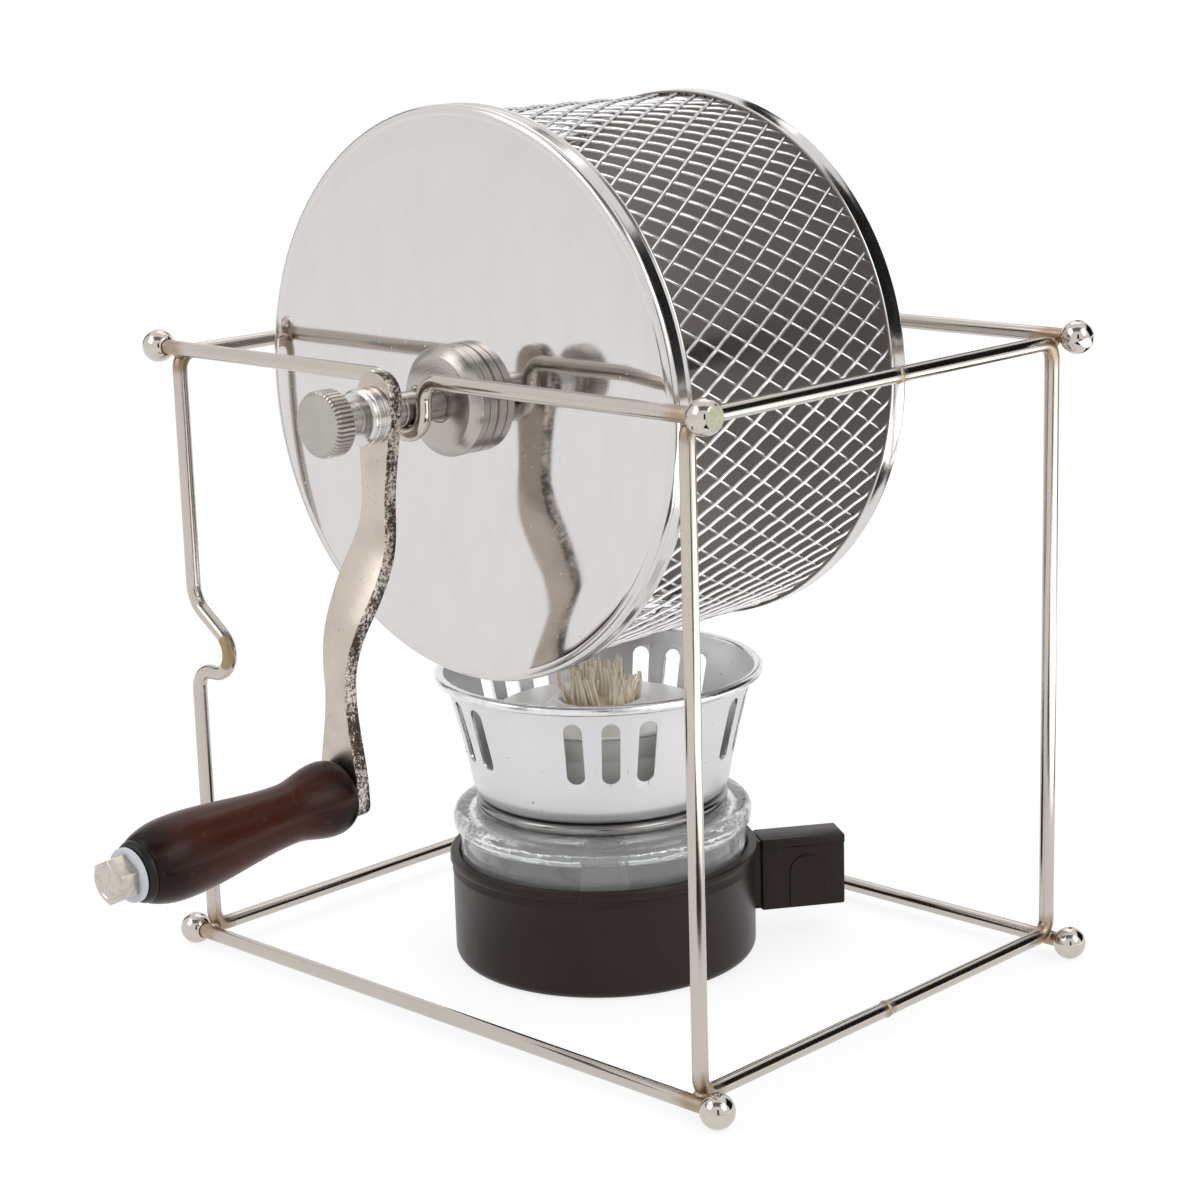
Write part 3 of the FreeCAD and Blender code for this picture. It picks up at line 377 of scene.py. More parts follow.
def mesh_wire(drum):
    return mottled("mesh_wire", drum.mesh, shade(drum.mesh, 0.82), (4, 3, 0.6),
                   (0.2, 0.14), (0.5, 2), 0.02, (0.3, 0.8), Metallic=1.0)


def turned_steel(drum, name="turned_steel", rough=0.0, tone=None):
    """Steel off the lathe: fine rings about the drum's axis."""
    p = Paint(name)
    tone = tone or drum.steel
    x, y, z = p.parts()
    up = z - AXLE_Z
    ray = (x * x + up * up).root()
    rings = p.noise(1, 2, 0.6, at=p.vector(ray * (MM * 5), y * (MM * 5), 0.0))
    return p.done(p.shader(
        Base_Color=p.blend(p.noise(5, 3), tone, shade(tone, 0.88)), Metallic=1.0,
        Roughness=rings * 0.16 + 0.11 + rough, Normal=p.bump(rings, 0.055)))


def cast_face(crank):
    """Plated face of the arm with groups of fine pits."""
    p = Paint("cast_face")
    cloud = p.noise(11, 4, 0.55)
    groups = p.noise(7, 2, seed=9.0).fade(0.48, 0.62)
    pits = p.noise(0.55, 1, 0.5, seed=5.0).fade(0.70, 0.78) * groups
    face = p.blend(cloud.fade(0.3, 0.75), crank.cast, shade(crank.cast, 0.86))
    return p.done(p.shader(
        Base_Color=p.blend(pits, face, (0.16, 0.12, 0.09)), Metallic=1.0,
        Roughness=cloud * 0.14 + 0.20 + pits * 0.3,
        Normal=p.bump(cloud * 0.4 - pits, 0.12)))


def cast_edge(crank):
    """Unpolished edge of the arm: hammered plating, with painted shade in its hollows and painted
    highlights on its raised spots.
    """
    p = Paint("cast_edge")
    patch = p.noise(6, 3, 0.6, stretch=(1, 1, 2.2), seed=1.0)
    lumps = p.noise(1.0, 4, 0.62)
    grit = p.noise(0.45, 3, 0.7, seed=6.0)
    # Painted light: the raised spots take the bright Cast edge colour as painted highlights, and
    # the hollows take a near-black as painted shade
    dark = (lumps * 0.65 + patch * 0.60 + grit * 0.55).fade(0.84, 1.02)
    return p.done(p.shader(
        Base_Color=p.blend(dark, (0.055, 0.040, 0.032), crank.rough),
        Metallic=1.0, Roughness=grit * 0.25 + 0.24, Normal=p.bump(lumps + grit * 0.4, 0.30)))


def bolt_nickel():
    return mottled("bolt_nickel", (0.56, 0.52, 0.475), (0.49, 0.445, 0.40), (1.3, 4, 0.6),
                   (0.12, 0.20), None, 0.012, (0.40, 0.68), Metallic=1.0)


def stained_wood(crank):
    """Dark lacquered wood: long grain, darker ends, small dents."""
    p = Paint("stained_wood")
    along = p.node("ShaderNodeMapping", None, {
        "Vector": p.place, "Location": tuple(-c * MM for c in GRIP_ROOT)})
    ends = (p.parts(along)[1] + 33).size().fade(13, 33)
    fibre = p.noise(1.1, 5, 0.62, stretch=(1, 22, 1))
    bands = p.noise(6, 3, 0.5, stretch=(1, 7, 1), seed=2.0)
    wear = p.noise(3.0, 4, 0.7, seed=7.0).fade(0.60, 0.72)
    deep = (ends * 0.75 + bands.fade(0.40, 0.66) * 0.35 + fibre.fade(0.4, 0.7) * 0.22).least(1.0)
    body = p.blend(deep, crank.wood, crank.dark)
    return p.done(p.shader(
        Base_Color=p.blend(wear * 0.14, body, (0.20, 0.07, 0.035)),
        Roughness=bands * 0.10 + 0.24 + wear * 0.14,
        Coat_Weight=0.05, Coat_Roughness=0.08, Specular_IOR_Level=0.12,
        Normal=p.bump(fibre * 0.2 - wear * 0.8, 0.10)))


def black_ring():
    return mottled("black_ring", (0.006, 0.006, 0.0065), (0.014, 0.0135, 0.013), (1.5, 3),
                   (0.2, 0.24), None, 0.03, Specular_IOR_Level=0.22)


def pale_washer(crank):
    return mottled("pale_washer", crank.washer, shade(crank.washer, 0.86), (2.0, 3),
                   (0, 0.42), (0.6, 2), 0.02)


def brown_plastic(burner):
    """Satin moulding with rubbed patches and short upright scuffs."""
    p = Paint("brown_plastic")
    cloud = p.noise(22, 4, 0.55)
    scuff = p.noise(0.55, 3, 0.7, stretch=(1, 1, 16), seed=3.0).fade(0.66, 0.74)
    patch = p.noise(9, 2, seed=6.0).fade(0.52, 0.66)
    rubbed = scuff * patch
    body = p.blend(cloud.fade(0.3, 0.7), burner.plastic, shade(burner.plastic, 1.35))
    return p.done(p.shader(
        Base_Color=p.blend(rubbed * 0.45, body, (0.20, 0.17, 0.155)),
        Roughness=cloud * 0.12 + 0.28 + rubbed * 0.2, Specular_IOR_Level=0.18,
        Normal=p.bump(p.noise(1.1, 3, 0.5) * 0.3 + p.noise(16, 2), 0.10)))


def clear(name, tint, ior, rough, waves, depth, milk=0.0):
    """Glass or liquid that lets light through; milk is the share that scatters it."""
    p = Paint(name)
    streak = p.noise(waves, 3, 0.5)
    body = p.shader(Base_Color=p.blend(streak, tint, shade(tint, 0.97)), Roughness=rough,
                    Transmission_Weight=1.0 - milk, IOR=ior, Normal=p.bump(streak, depth))
    light = p.node("ShaderNodeLightPath", output="Is Shadow Ray")
    through = p.node("ShaderNodeBsdfTransparent", None, {"Color": tint})
    return p.done(p.mixed(light, body, through))


def ceramic(burner):
    return mottled("ceramic", burner.ceramic, shade(burner.ceramic, 0.93), (4, 3),
                   (0, 0.28), None, 0.05, Coat_Weight=0.3)


def cotton(burner):
    """Frayed cotton: pale strands, with painted shade darker and yellower near the holder, and a
    painted mid-grey shade on the stem inside the jar.
    """
    p = Paint("cotton")
    z = p.parts()[2]
    # Painted shade: the strands turn darker and yellower towards the holder, where the tuft is
    # dense
    foot = z.fade(75.5, 71.0)
    tone = p.noise(1.7, 4, 0.6)
    body = p.blend(tone.fade(0.35, 0.65), burner.cotton, (0.96, 0.91, 0.80))
    tuft = p.blend(foot * 0.4, body, (0.72, 0.54, 0.30))
    # Painted shade: below z 60 the stem takes the mid-grey of the dim inside of the jar
    return p.done(p.shader(Base_Color=p.blend(z.fade(62, 60), tuft, (0.36, 0.37, 0.37)),
                           Roughness=0.55))


def dark_ring():
    return mottled("dark_ring", (0.20, 0.20, 0.20), (0.32, 0.31, 0.30), (5, 3),
                   (0.15, 0.12), (1.5, 2), 0.02, Metallic=1.0)


def shield_sheet(burner):
    """Spun aluminium: matte, faint rings, a few nicks."""
    p = Paint("shield_sheet")
    rings = p.noise(1, 3, 0.6, at=p.vector(0.0, 0.0, p.parts()[2] * (MM * 11)))
    cloud = p.noise(26, 3)
    nick = p.noise(0.9, 1, 0.5, stretch=(1, 1, 2.5), seed=4.0).fade(0.755, 0.79)
    body = p.blend(cloud, burner.shield, shade(burner.shield, 0.93))
    return p.done(p.shader(
        Base_Color=p.blend(nick, body, (0.22, 0.21, 0.20)), Metallic=1.0,
        Roughness=cloud * 0.08 + 0.34 + rings * 0.08,
        Normal=p.bump(rings * 0.5 + p.noise(9, 2) - nick, 0.05)))


def bright_edge():
    return mottled("bright_edge", (0.86, 0.86, 0.87), (0.66, 0.66, 0.67), (2.2, 3, 0.6),
                   (0.25, 0.08), (1.2, 3), 0.06, Metallic=1.0)


def leave_edit():
    bpy.ops.object.mode_set(mode="OBJECT")


def clear_selection():
    if bpy.context.mode != "OBJECT":
        leave_edit()
    bpy.ops.object.select_all(action="DESELECT")


def choose(piece):
    clear_selection()
    piece.select_set(True)
    bpy.context.view_layer.objects.active = piece


def named(name):
    piece = bpy.context.object
    piece.name = name
    piece.data.name = name
    return piece


def edit_all():
    bpy.ops.object.mode_set(mode="EDIT")
    bpy.ops.mesh.select_mode(type="VERT")
    bpy.ops.mesh.select_all(action="SELECT")


def pick(piece, test):
    """Opens a piece for editing with the vertices selected whose place passes a test."""
    choose(piece)
    bpy.ops.object.mode_set(mode="EDIT")
    bpy.ops.mesh.select_mode(type="VERT")
    bpy.ops.mesh.select_all(action="DESELECT")
    leave_edit()
    for vertex in piece.data.vertices:
        vertex.select = test(vertex.co / MM)
    bpy.ops.object.mode_set(mode="EDIT")


def close_edit():
    """Merges doubles, closes open ends and points the faces outwards."""
    bpy.ops.mesh.select_all(action="SELECT")
    bpy.ops.mesh.remove_doubles(threshold=0.003 * MM)
    bpy.ops.mesh.select_all(action="SELECT")
    bpy.ops.mesh.fill_holes(sides=0)
    bpy.ops.mesh.select_all(action="SELECT")
    bpy.ops.mesh.normals_make_consistent(inside=False)
    leave_edit()


def turned(name, outline, sides=96):
    """A lathe's piece about Z: one ring drawn from station to station (radius, height)."""
    clear_selection()
    radius, height = outline[0]
    bpy.ops.mesh.primitive_circle_add(vertices=sides, radius=radius * MM,
                                      location=(0, 0, height * MM), fill_type="NOTHING")
    piece = named(name)
    edit_all()
    for (r0, h0), (r1, h1) in zip(outline, outline[1:]):
        bpy.ops.mesh.extrude_region_move(
            TRANSFORM_OT_translate={"value": (0, 0, (h1 - h0) * MM)})
        if r1 == 0:
            bpy.ops.mesh.merge(type="CENTER")
        elif r1 != r0:
            bpy.ops.transform.resize(value=(r1 / r0, r1 / r0, 1),
                                     center_override=(0, 0, h1 * MM))
    close_edit()
    return settle(piece)


def arc(radius, height, bend, start, stop, steps=6):
    """Stations on an arc about (radius, height); angles in degrees, 0 outwards and 90 up."""
    made = []
    for i in range(steps + 1):
        turn = math.radians(start + (stop - start) * i / steps)
        made.append((radius + bend * math.cos(turn), height + bend * math.sin(turn)))
    return made


def eased(start, stop, low, high, steps):
    """Stations from one radius to the next with level ends."""
    made = []
    for i in range(1, steps + 1):
        t = i / steps
        made.append((low + (high - low) * (3 * t * t - 2 * t ** 3), start + (stop - start) * t))
    return made


def bent_wire(name, start, heading, radius, moves, sides=20):
    """A wire bent as on a bench: ('run', length) and ('bend', degrees, towards, centre radius)."""
    clear_selection()
    place, way = Vector(start), Vector(heading)
    bpy.ops.mesh.primitive_circle_add(
        vertices=sides, radius=radius * MM, location=place * MM,
        rotation=way.to_track_quat("Z", "Y").to_euler(), fill_type="NOTHING")
    piece = named(name)
    edit_all()
    for move in moves:
        if move[0] == "run":
            bpy.ops.mesh.extrude_region_move(
                TRANSFORM_OT_translate={"value": way * move[1] * MM})
            place = place + way * move[1]
        else:
            degrees, towards, bend = move[1], Vector(move[2]), move[3]
            turn = math.radians(degrees)
            centre = place + towards * bend
            bpy.ops.mesh.spin(steps=math.ceil(degrees / 9), angle=-turn,
                              center=centre * MM, axis=way.cross(towards))
            place = centre + (way * math.sin(turn) - towards * math.cos(turn)) * bend
            way = way * math.cos(turn) + towards * math.sin(turn)
    close_edit()
    return piece


def apply_modifier(piece, kind, **values):
    choose(piece)
    modifier = piece.modifiers.new(kind.lower(), kind)
    for key, value in values.items():
        setattr(modifier, key, value)
    bpy.ops.object.modifier_apply(modifier=modifier.name)


def rounded(piece, width, segments=2, degrees=35, **values):
    apply_modifier(piece, "BEVEL", width=width * MM, segments=segments, limit_method="ANGLE",
                   angle_limit=math.radians(degrees), harden_normals=False, **values)


def carve(piece, tool, operation="DIFFERENCE"):
    apply_modifier(piece, "BOOLEAN", operation=operation, object=tool, solver="EXACT")
    bpy.data.objects.remove(tool)


def joined(name, pieces):
    choose(pieces[0])
    for piece in pieces:
        piece.select_set(True)
    bpy.ops.object.join()
    return named(name)


def settle(piece, matrix=None):
    """Puts a piece where it belongs, with its place in its mesh."""
    choose(piece)
    if matrix is not None:
        piece.matrix_world = matrix @ piece.matrix_world
    bpy.ops.object.transform_apply(location=True, rotation=True, scale=True)
    return piece


def dress(piece, body, paints, replaced=(), smooth=32):
    """Smooths and paints a finished piece and lets it ride on its body."""
    choose(piece)
    bpy.ops.object.shade_smooth_by_angle(angle=math.radians(smooth))
    painted = list(paints) if isinstance(paints, (list, tuple)) else [paints]
    indices = [polygon.material_index for polygon in piece.data.polygons]
    piece.data.materials.clear()
    for paint in painted:
        piece.data.materials.append(paint)
    for polygon, index in zip(piece.data.polygons, indices):
        polygon.material_index = min(index, len(painted) - 1)
    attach(piece, body)
    if replaced:
        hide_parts(*replaced)
    return piece


def coat_faces(piece, index, test):
    """Gives the faces that pass a test on their middle and normal another paint."""
    for polygon in piece.data.polygons:
        if test(polygon.center / MM, polygon.normal):
            polygon.material_index = index


def lathe(name, outline, sides, place, body, paints, node, smooth=32):
    """Turns a piece, sets it in its place and dresses it to stand for a single node."""
    return dress(settle(turned(name, outline, sides), place), body, paints, [node], smooth)


def threads(name, radius, resolution):
    """An object whose lines will be round threads."""
    line = bpy.data.curves.new(name, "CURVE")
    line.dimensions = "3D"
    line.bevel_depth = radius
    line.bevel_resolution = resolution
    line.use_fill_caps = True
    piece = bpy.data.objects.new(name, line)
    bpy.context.scene.collection.objects.link(piece)
    return piece


def to_mesh(piece):
    choose(piece)
    bpy.ops.object.convert(target="MESH")


def outward(azimuth, elevation):
    """Direction from the roaster to something round it; azimuth 0 is in front."""
    return Vector((math.sin(azimuth) * math.cos(elevation),
                   -math.cos(azimuth) * math.cos(elevation), math.sin(elevation)))


def on_axle(turn=0.0):
    """Local Z towards the crank and local Y up, about the drum's axis."""
    return (Matrix.Translation((0, 0, AXLE_Z * MM)) @ Matrix.Rotation(turn, 4, "Y")
            @ Matrix.Rotation(math.pi / 2, 4, "X"))


def on_grip():
    return (Matrix.Translation(GRIP_ROOT * MM) @ Matrix.Rotation(REST_TURN, 4, "Y")
            @ Matrix.Rotation(math.pi / 2 + ARM_LEAN, 4, "X"))


def on_burner(turn=0.0):
    return Matrix.Translation((BURNER.x * MM, BURNER.y * MM, 0)) @ Matrix.Rotation(turn, 4, "Z")


class ROASTER_OT_stage(bpy.types.Operator):
    """Sets the camera, the pale floor, the soft lamps and the reflected cards"""
    bl_idname = "roaster.stage"
    bl_label = "Stage"

    def card_paint(self, name, strength):
        paint = Paint(name)
        return paint.done(paint.node("ShaderNodeEmission", None,
                                     {"Color": (1, 0.99, 0.98), "Strength": strength}))

    def card(self, name, paint, width, height, location, rotation):
        """A card that shows only in the reflections in polished metal."""
        clear_selection()
        bpy.ops.mesh.primitive_grid_add(x_subdivisions=1, y_subdivisions=1, size=1,
                                        location=location, rotation=rotation)
        card = named(name)
        card.scale = (width, height, 1)
        settle(card)
        card.data.materials.append(paint)
        for ray in ("camera", "diffuse", "transmission", "shadow"):
            setattr(card, "visible_" + ray, False)

    def facing(self, azimuth, elevation, distance):
        """Place and turn of something that faces the roaster from a side."""
        back = outward(math.radians(azimuth), math.radians(elevation))
        return back * distance + AIM, back.to_track_quat("Z", "Y").to_euler()

    def camera(self, scene, stage):
        back = outward(stage.azimuth, stage.elevation)
        side = outward(stage.azimuth + math.pi / 2, 0)
        above = back.cross(side)
        right = side * math.cos(stage.roll) + above * math.sin(stage.roll)
        up = above * math.cos(stage.roll) - side * math.sin(stage.roll)
        clear_selection()
        bpy.ops.object.camera_add(location=CAMERA * MM)
        camera = bpy.context.object
        camera.rotation_euler = Matrix((right, up, back)).transposed().to_euler()
        camera.data.sensor_width = 36
        camera.data.lens = stage.lens
        camera.data.clip_start, camera.data.clip_end = 0.01, 50
        scene.camera = camera
        scene.view_settings.view_transform = "Standard"

    def room(self, scene, stage):
        """The backdrop all round, and the floor that melts into it."""
        sky = Paint("studio", world=True)
        soft = sky.node("ShaderNodeBackground", None,
                        {"Color": stage.backdrop, "Strength": stage.fill})
        bright = sky.node("ShaderNodeBackground", None, {"Color": stage.backdrop})
        seen = sky.node("ShaderNodeLightPath", output="Is Camera Ray")
        scene.world = sky.done(sky.mixed(seen, soft, bright))

        table = Paint("floor")
        pale = table.shader(Base_Color=(0.93, 0.93, 0.93), Roughness=0.9, Specular_IOR_Level=0.0)
        glow = table.node("ShaderNodeEmission", None, {"Color": stage.backdrop, "Strength": 1.05})
        seen = table.node("ShaderNodeLightPath", output="Is Camera Ray")
        mirrored = table.node("ShaderNodeLightPath", output="Is Glossy Ray")
        clear_selection()
        bpy.ops.mesh.primitive_grid_add(x_subdivisions=2, y_subdivisions=2, size=40)
        floor = named("floor")
        floor.data.materials.append(
            table.done(table.mixed(seen.most(mirrored) * 0.76, pale, glow)))

    def execute(self, context):
        self.camera(context.scene, settings("stage"))
        self.room(context.scene, settings("stage"))
        dark = self.card_paint("dark_card", 0.012)
        dim = self.card_paint("dim_card", 0.22)
        light = self.card_paint("light_card", 2.3)
        for name, paint, azimuth, elevation, distance, width, height in (
                ("card_camera", dark, 46, 6, 1.9, 0.40, 1.5),
                ("card_above", dim, 40, 62, 2.0, 2.2, 1.0),
                ("card_back_right", dark, 152, 22, 2.1, 1.9, 1.5),
                ("card_left", dark, 268, 18, 2.2, 0.5, 1.4),
                ("card_back", dark, 208, 30, 2.3, 0.4, 1.2),
                ("softbox_right", light, 92, 30, 1.8, 0.8, 0.9),
                ("softbox_left", light, -38, 52, 1.9, 0.8, 0.5)):
            self.card(name, paint, width, height, *self.facing(azimuth, elevation, distance))
        for name, paint, azimuth, near, width, height in (
                ("strip_dark", dark, 66, 0.22, 0.20, 0.0010),
                ("strip_light", light, 112, 0.24, 0.75, 0.0015),
                ("strip_edge", dark, 158, 0.24, 0.30, 0.0010)):
            turn = math.radians(azimuth)
            self.card(name, paint, STRIP_END - near, width,
                      outward(turn, 0) * (near + STRIP_END) / 2 + Vector((0, 0, height)),
                      (0, 0, turn - math.pi / 2))
        for name, azimuth, elevation, distance, spread, power in (
                ("lamp_left", -20, 38, 1.6, 0.9, 4.0), ("lamp_right", 95, 42, 1.6, 0.9, 3.0),
                ("lamp_back", 215, 55, 1.7, 1.0, 2.0)):
            place, turn = self.facing(azimuth, elevation, distance)
            bpy.ops.object.light_add(type="AREA", location=place, rotation=turn)
            lamp = context.object
            lamp.name = name
            lamp.data.shape = "SQUARE"
            lamp.data.size = spread
            lamp.data.energy = power
        return {"FINISHED"}


class ROASTER_OT_wires(bpy.types.Operator):
    """Bends the stand's four rods and two loops"""
    bl_idname = "roaster.wires"
    bl_label = "Stand wires"

    def execute(self, context):
        stand = settings("stand")
        wire, corner = stand.wire / 2 / MM, stand.corner / MM
        flare, seat, depth = stand.flare / MM, stand.seat / MM, stand.depth / MM
        paint = nickel_wire(stand)
        right, up, down, front, back = (1, 0, 0), (0, 0, 1), (0, 0, -1), (0, -1, 0), (0, 1, 0)
        rod_end = span("bottom_front_rod")[1].x
        beside, leg = ("run", rod_end - seat - flare), ("run", depth - seat - flare)
        seated = [beside, ("bend", 90, down, flare), leg, ("bend", 180, right, seat), leg,
                  ("bend", 90, right, flare), beside]
        wires = [("%s_%s_rod" % (level, row), (-rod_end, y, z), right, moves)
                 for level, z, moves in (("bottom", LOW_Z, [("run", 2 * rod_end)]),
                                         ("top", TOP_Z, seated))
                 for row, y in (("front", -ROD_Y), ("back", ROD_Y))]

        # The left loop's uprights dip inwards, with a gentler slope above the seat than below
        deep, tall = 2 * LOOP_Y - 2 * corner, LOOP_HIGH - LOOP_LOW - 2 * corner
        slope, sweep, tilt = stand.slope, stand.sweep / MM, math.degrees(stand.slope)
        sine, cosine = math.sin(slope), math.cos(slope)
        slant = (depth - (sweep + seat) * (1 - cosine)) / sine
        inwards = ("run", sweep * (1 - cosine) + slant * sine - seat * cosine - flare)
        over = ("run", tall / 2 - (sweep + seat) * sine - slant * cosine)
        under = ("run", tall / 2 - seat - flare)
        dent = [over, ("bend", tilt, right, sweep), ("run", slant),
                ("bend", 90 + tilt, (-cosine, 0, -sine), seat), inwards,
                ("bend", 90, down, flare), under]
        climb = [under, ("bend", 90, right, flare), inwards, ("bend", 90 + tilt, up, seat),
                 ("run", slant), ("bend", tilt, (cosine, 0, sine), sweep), over]
        straight = [("run", tall)]
        for name, x, rising, falling in (("right_loop", LOOP_X, straight, straight),
                                         ("left_loop", -LOOP_X, climb, dent)):
            wires.append((name, (x, 0, LOOP_LOW), back, [
                ("run", deep / 2), ("bend", 90, up, corner), *rising, ("bend", 90, front, corner),
                ("run", deep), ("bend", 90, down, corner), *falling, ("bend", 90, back, corner),
                ("run", deep / 2)]))
        for name, start, heading, moves in wires:
            made = settle(bent_wire("wire_" + name, start, heading, wire, moves))
            dress(made, "stand", paint, [name])
        return {"FINISHED"}


class ROASTER_OT_balls(bpy.types.Operator):
    """Sets the balls on the rod ends and the weld beads at the corners"""
    bl_idname = "roaster.balls"
    bl_label = "Balls and welds"

    def bead(self, name, place, radius, stretch, rough, seed):
        """A lump of weld metal: a stretched ball, roughened and smoothed."""
        clear_selection()
        bpy.ops.mesh.primitive_ico_sphere_add(subdivisions=4, radius=radius * MM,
                                              location=Vector(place) * MM)
        bead = named(name)
        bead.scale = stretch
        settle(bead)
        edit_all()
        bpy.ops.transform.vertex_random(offset=rough * MM, uniform=1.0, seed=seed)
        bpy.ops.mesh.vertices_smooth(factor=0.5, repeat=2)
        leave_edit()
        return bead

    def execute(self, context):
        stand = settings("stand")
        radius, wire = stand.ball / 2 / MM, stand.wire / 2 / MM
        polished, flat, weld = ball_nickel(stand), ground_flat(), weld_metal(stand)
        hole = wire + 0.04
        mouth = math.degrees(math.asin((hole + 0.22) / radius))
        socket = [(hole, -2.2), (hole, -radius * math.cos(math.radians(mouth)) + 0.16)]
        full = socket + arc(0, 0, radius, mouth - 90, 88, 26) + [(0, radius)]
        ground = socket + arc(0, 0, radius, mouth - 90, 47, 20) + [
            (radius * 0.667, radius * 0.742), (0, radius * 0.742)]
        for level, z in (("top", TOP_Z), ("bottom", LOW_Z)):
            for row, y in (("front", -ROD_Y), ("back", ROD_Y)):
                for side, x in (("left", -BALL_X), ("right", BALL_X)):
                    node = "%s_%s_%s_ball" % (level, row, side)
                    is_ground = node == "top_front_right_ball"
                    ball = turned("end_" + node, ground if is_ground else full, 48)
                    turn = Matrix.Rotation(math.copysign(math.pi / 2, x), 4, "Y")
                    settle(ball, Matrix.Translation(Vector((x, y, z)) * MM) @ turn)
                    if is_ground:
                        coat_faces(ball, 1, lambda c, n: n.x > 0.98)
                    dress(ball, "stand", [polished, flat], [node])

        corners = [(x, y, z) for x in (-1, 1) for y in (-1, 1) for z in (-1, 1)]
        beads = [self.bead("bead", (x * LOOP_X, y * (ROD_Y - 1.5),
                                    TOP_Z - 1.5 if z > 0 else LOW_Z + 1.5),
                           stand.weld / 2 / MM, (0.95, 0.66, 0.66), 0.07, i + 3)
                 for i, (x, y, z) in enumerate(corners)]
        beads += [self.bead("seam_bead", (LOOP_X, y, z), wire, (1.13, 0.8, 1.13), 0.05, 20 + int(z))
                  for y, z in ((5.6, LOOP_HIGH), (0, LOOP_LOW))]
        dress(joined("corner_welds", beads), "stand", weld)
        return {"FINISHED"}


class ROASTER_OT_drum_ends(bpy.types.Operator):
    """Turns the polished lid and the back plate with its rim"""
    bl_idname = "roaster.drum_ends"
    bl_label = "Drum ends"

    def execute(self, context):
        drum = settings("drum")
        mirror, inner, rim = mirror_steel(drum), inner_steel(drum), rim_steel(drum)
        face, skirt, lid = 54.3, drum.skirt / MM, drum.lid / MM
        bore, sheet, corner, curl = 4.33, 0.8, 1.6, 0.62
        waist = lid - 0.45
        outline = [(bore, face - sheet), (bore, face), (lid - 14, face), (lid - 3.2, face),
                   (lid - 2.7, face - 0.12), (lid - 2.2, face - 0.02)]
        outline += arc(lid - corner, face - corner, corner, 78, 0, 9)
        outline += [(waist, face - 2.4), (waist, face - skirt + 1.5)]
        outline += arc(lid - curl, face - skirt + curl, curl, 45, -90, 9)
        outline += [(lid - sheet - 0.5, face - skirt + 0.35), (lid - sheet - 0.5, face - 2.2),
                    (lid - sheet - 1.2, face - sheet - 0.5), (lid - sheet - 2.2, face - sheet),
                    (bore, face - sheet)]
        cover = settle(turned("drum_lid", outline, 192), on_axle())
        coat_faces(cover, 1, lambda c, n: n.y > 0.5 and c.y > -face + 0.4)
        radial_edge = lid - 2.3
        coat_faces(cover, 2, lambda c, n: math.hypot(c.x, c.z - AXLE_Z) > radial_edge
                   and n.y < 0.7)
        dress(cover, "drum", [mirror, inner, rim], ["front_lid"], 24)

        back, depth, edge, thin = 35.9, drum.rim / MM, drum.back / MM, 0.6
        outline = [(bore, -back + thin), (bore, -back), (edge - 2.8, -back),
                   (edge - 2.3, -back + 0.1), (edge - 1.9, -back)]
        outline += arc(edge - 1.2, -back + 1.2, 1.2, -80, 0, 8)
        outline += [(edge - 0.12, -back + 2.4), (edge - 0.12, -back + depth - 1.1)]
        outline += arc(edge - 0.5, -back + depth - 0.5, 0.5, 0, 110, 7)
        outline += [(edge - thin - 0.25, -back + depth - 0.5), (edge - thin - 0.25, -back + 1.6),
                    (edge - thin - 0.9, -back + thin + 0.2), (edge - thin - 1.6, -back + thin),
                    (bore, -back + thin)]
        plate = settle(turned("drum_back", outline, 192), on_axle())
        coat_faces(plate, 1, lambda c, n: n.y < -0.5 and c.y < back - 0.4)
        coat_faces(plate, 2, lambda c, n: math.hypot(c.x, c.z - AXLE_Z) > edge - 1.9
                   and abs(n.y) < 0.8)
        dress(plate, "drum", [mirror, inner, rim], ["back_plate"], 24)

        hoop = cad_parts["front_hoop"]
        hoop.data.materials.clear()
        hoop.data.materials.append(rim)
        return {"FINISHED"}


class ROASTER_OT_drum_mesh(bpy.types.Operator):
    """Weaves the drum's wall from two families of crimped wires"""
    bl_idname = "roaster.drum_mesh"
    bl_label = "Drum mesh"

    def execute(self, context):
        drum = settings("drum")
        paint = mesh_wire(drum)
        outer, gap, crimp = 70.05, 0.06, 0.07
        front, back, knot = 53.3, -35.1, -28.4
        step = 360 / drum.wires
        rate = 360 / (drum.pitch / MM)
        cell = step / (2 * rate)
        phase = 5.06
        turns = math.ceil((front - back) / cell * 6)
        for name, node, sign, high, wave in (
                ("weave_outer", "outer_mesh_wires", -1, outer, crimp),
                ("weave_inner", "inner_mesh_wires", 1, outer - drum.wire / MM - gap, -crimp)):
            piece = threads(name, drum.wire / 2, 2)
            spline = piece.data.splines.new("POLY")
            spline.points.add(turns)
            for i, point in enumerate(spline.points):
                height = back + (front - back) * i / turns
                around = math.radians(phase + sign * rate * (height - knot))
                out = high - wave + wave * math.cos(2 * math.pi * (height - knot) / cell)
                point.co = (out * math.cos(around) * MM, out * math.sin(around) * MM,
                            height * MM, 1)
            to_mesh(piece)
            clear_selection()
            bpy.ops.object.empty_add()
            hand = context.object
            hand.rotation_euler = (0, 0, math.radians(step))
            context.view_layer.update()
            apply_modifier(piece, "ARRAY", count=drum.wires, use_relative_offset=False,
                           use_object_offset=True, offset_object=hand)
            bpy.data.objects.remove(hand)
            settle(piece, on_axle())
            dress(piece, "drum", paint, [node], 60)
        return {"FINISHED"}


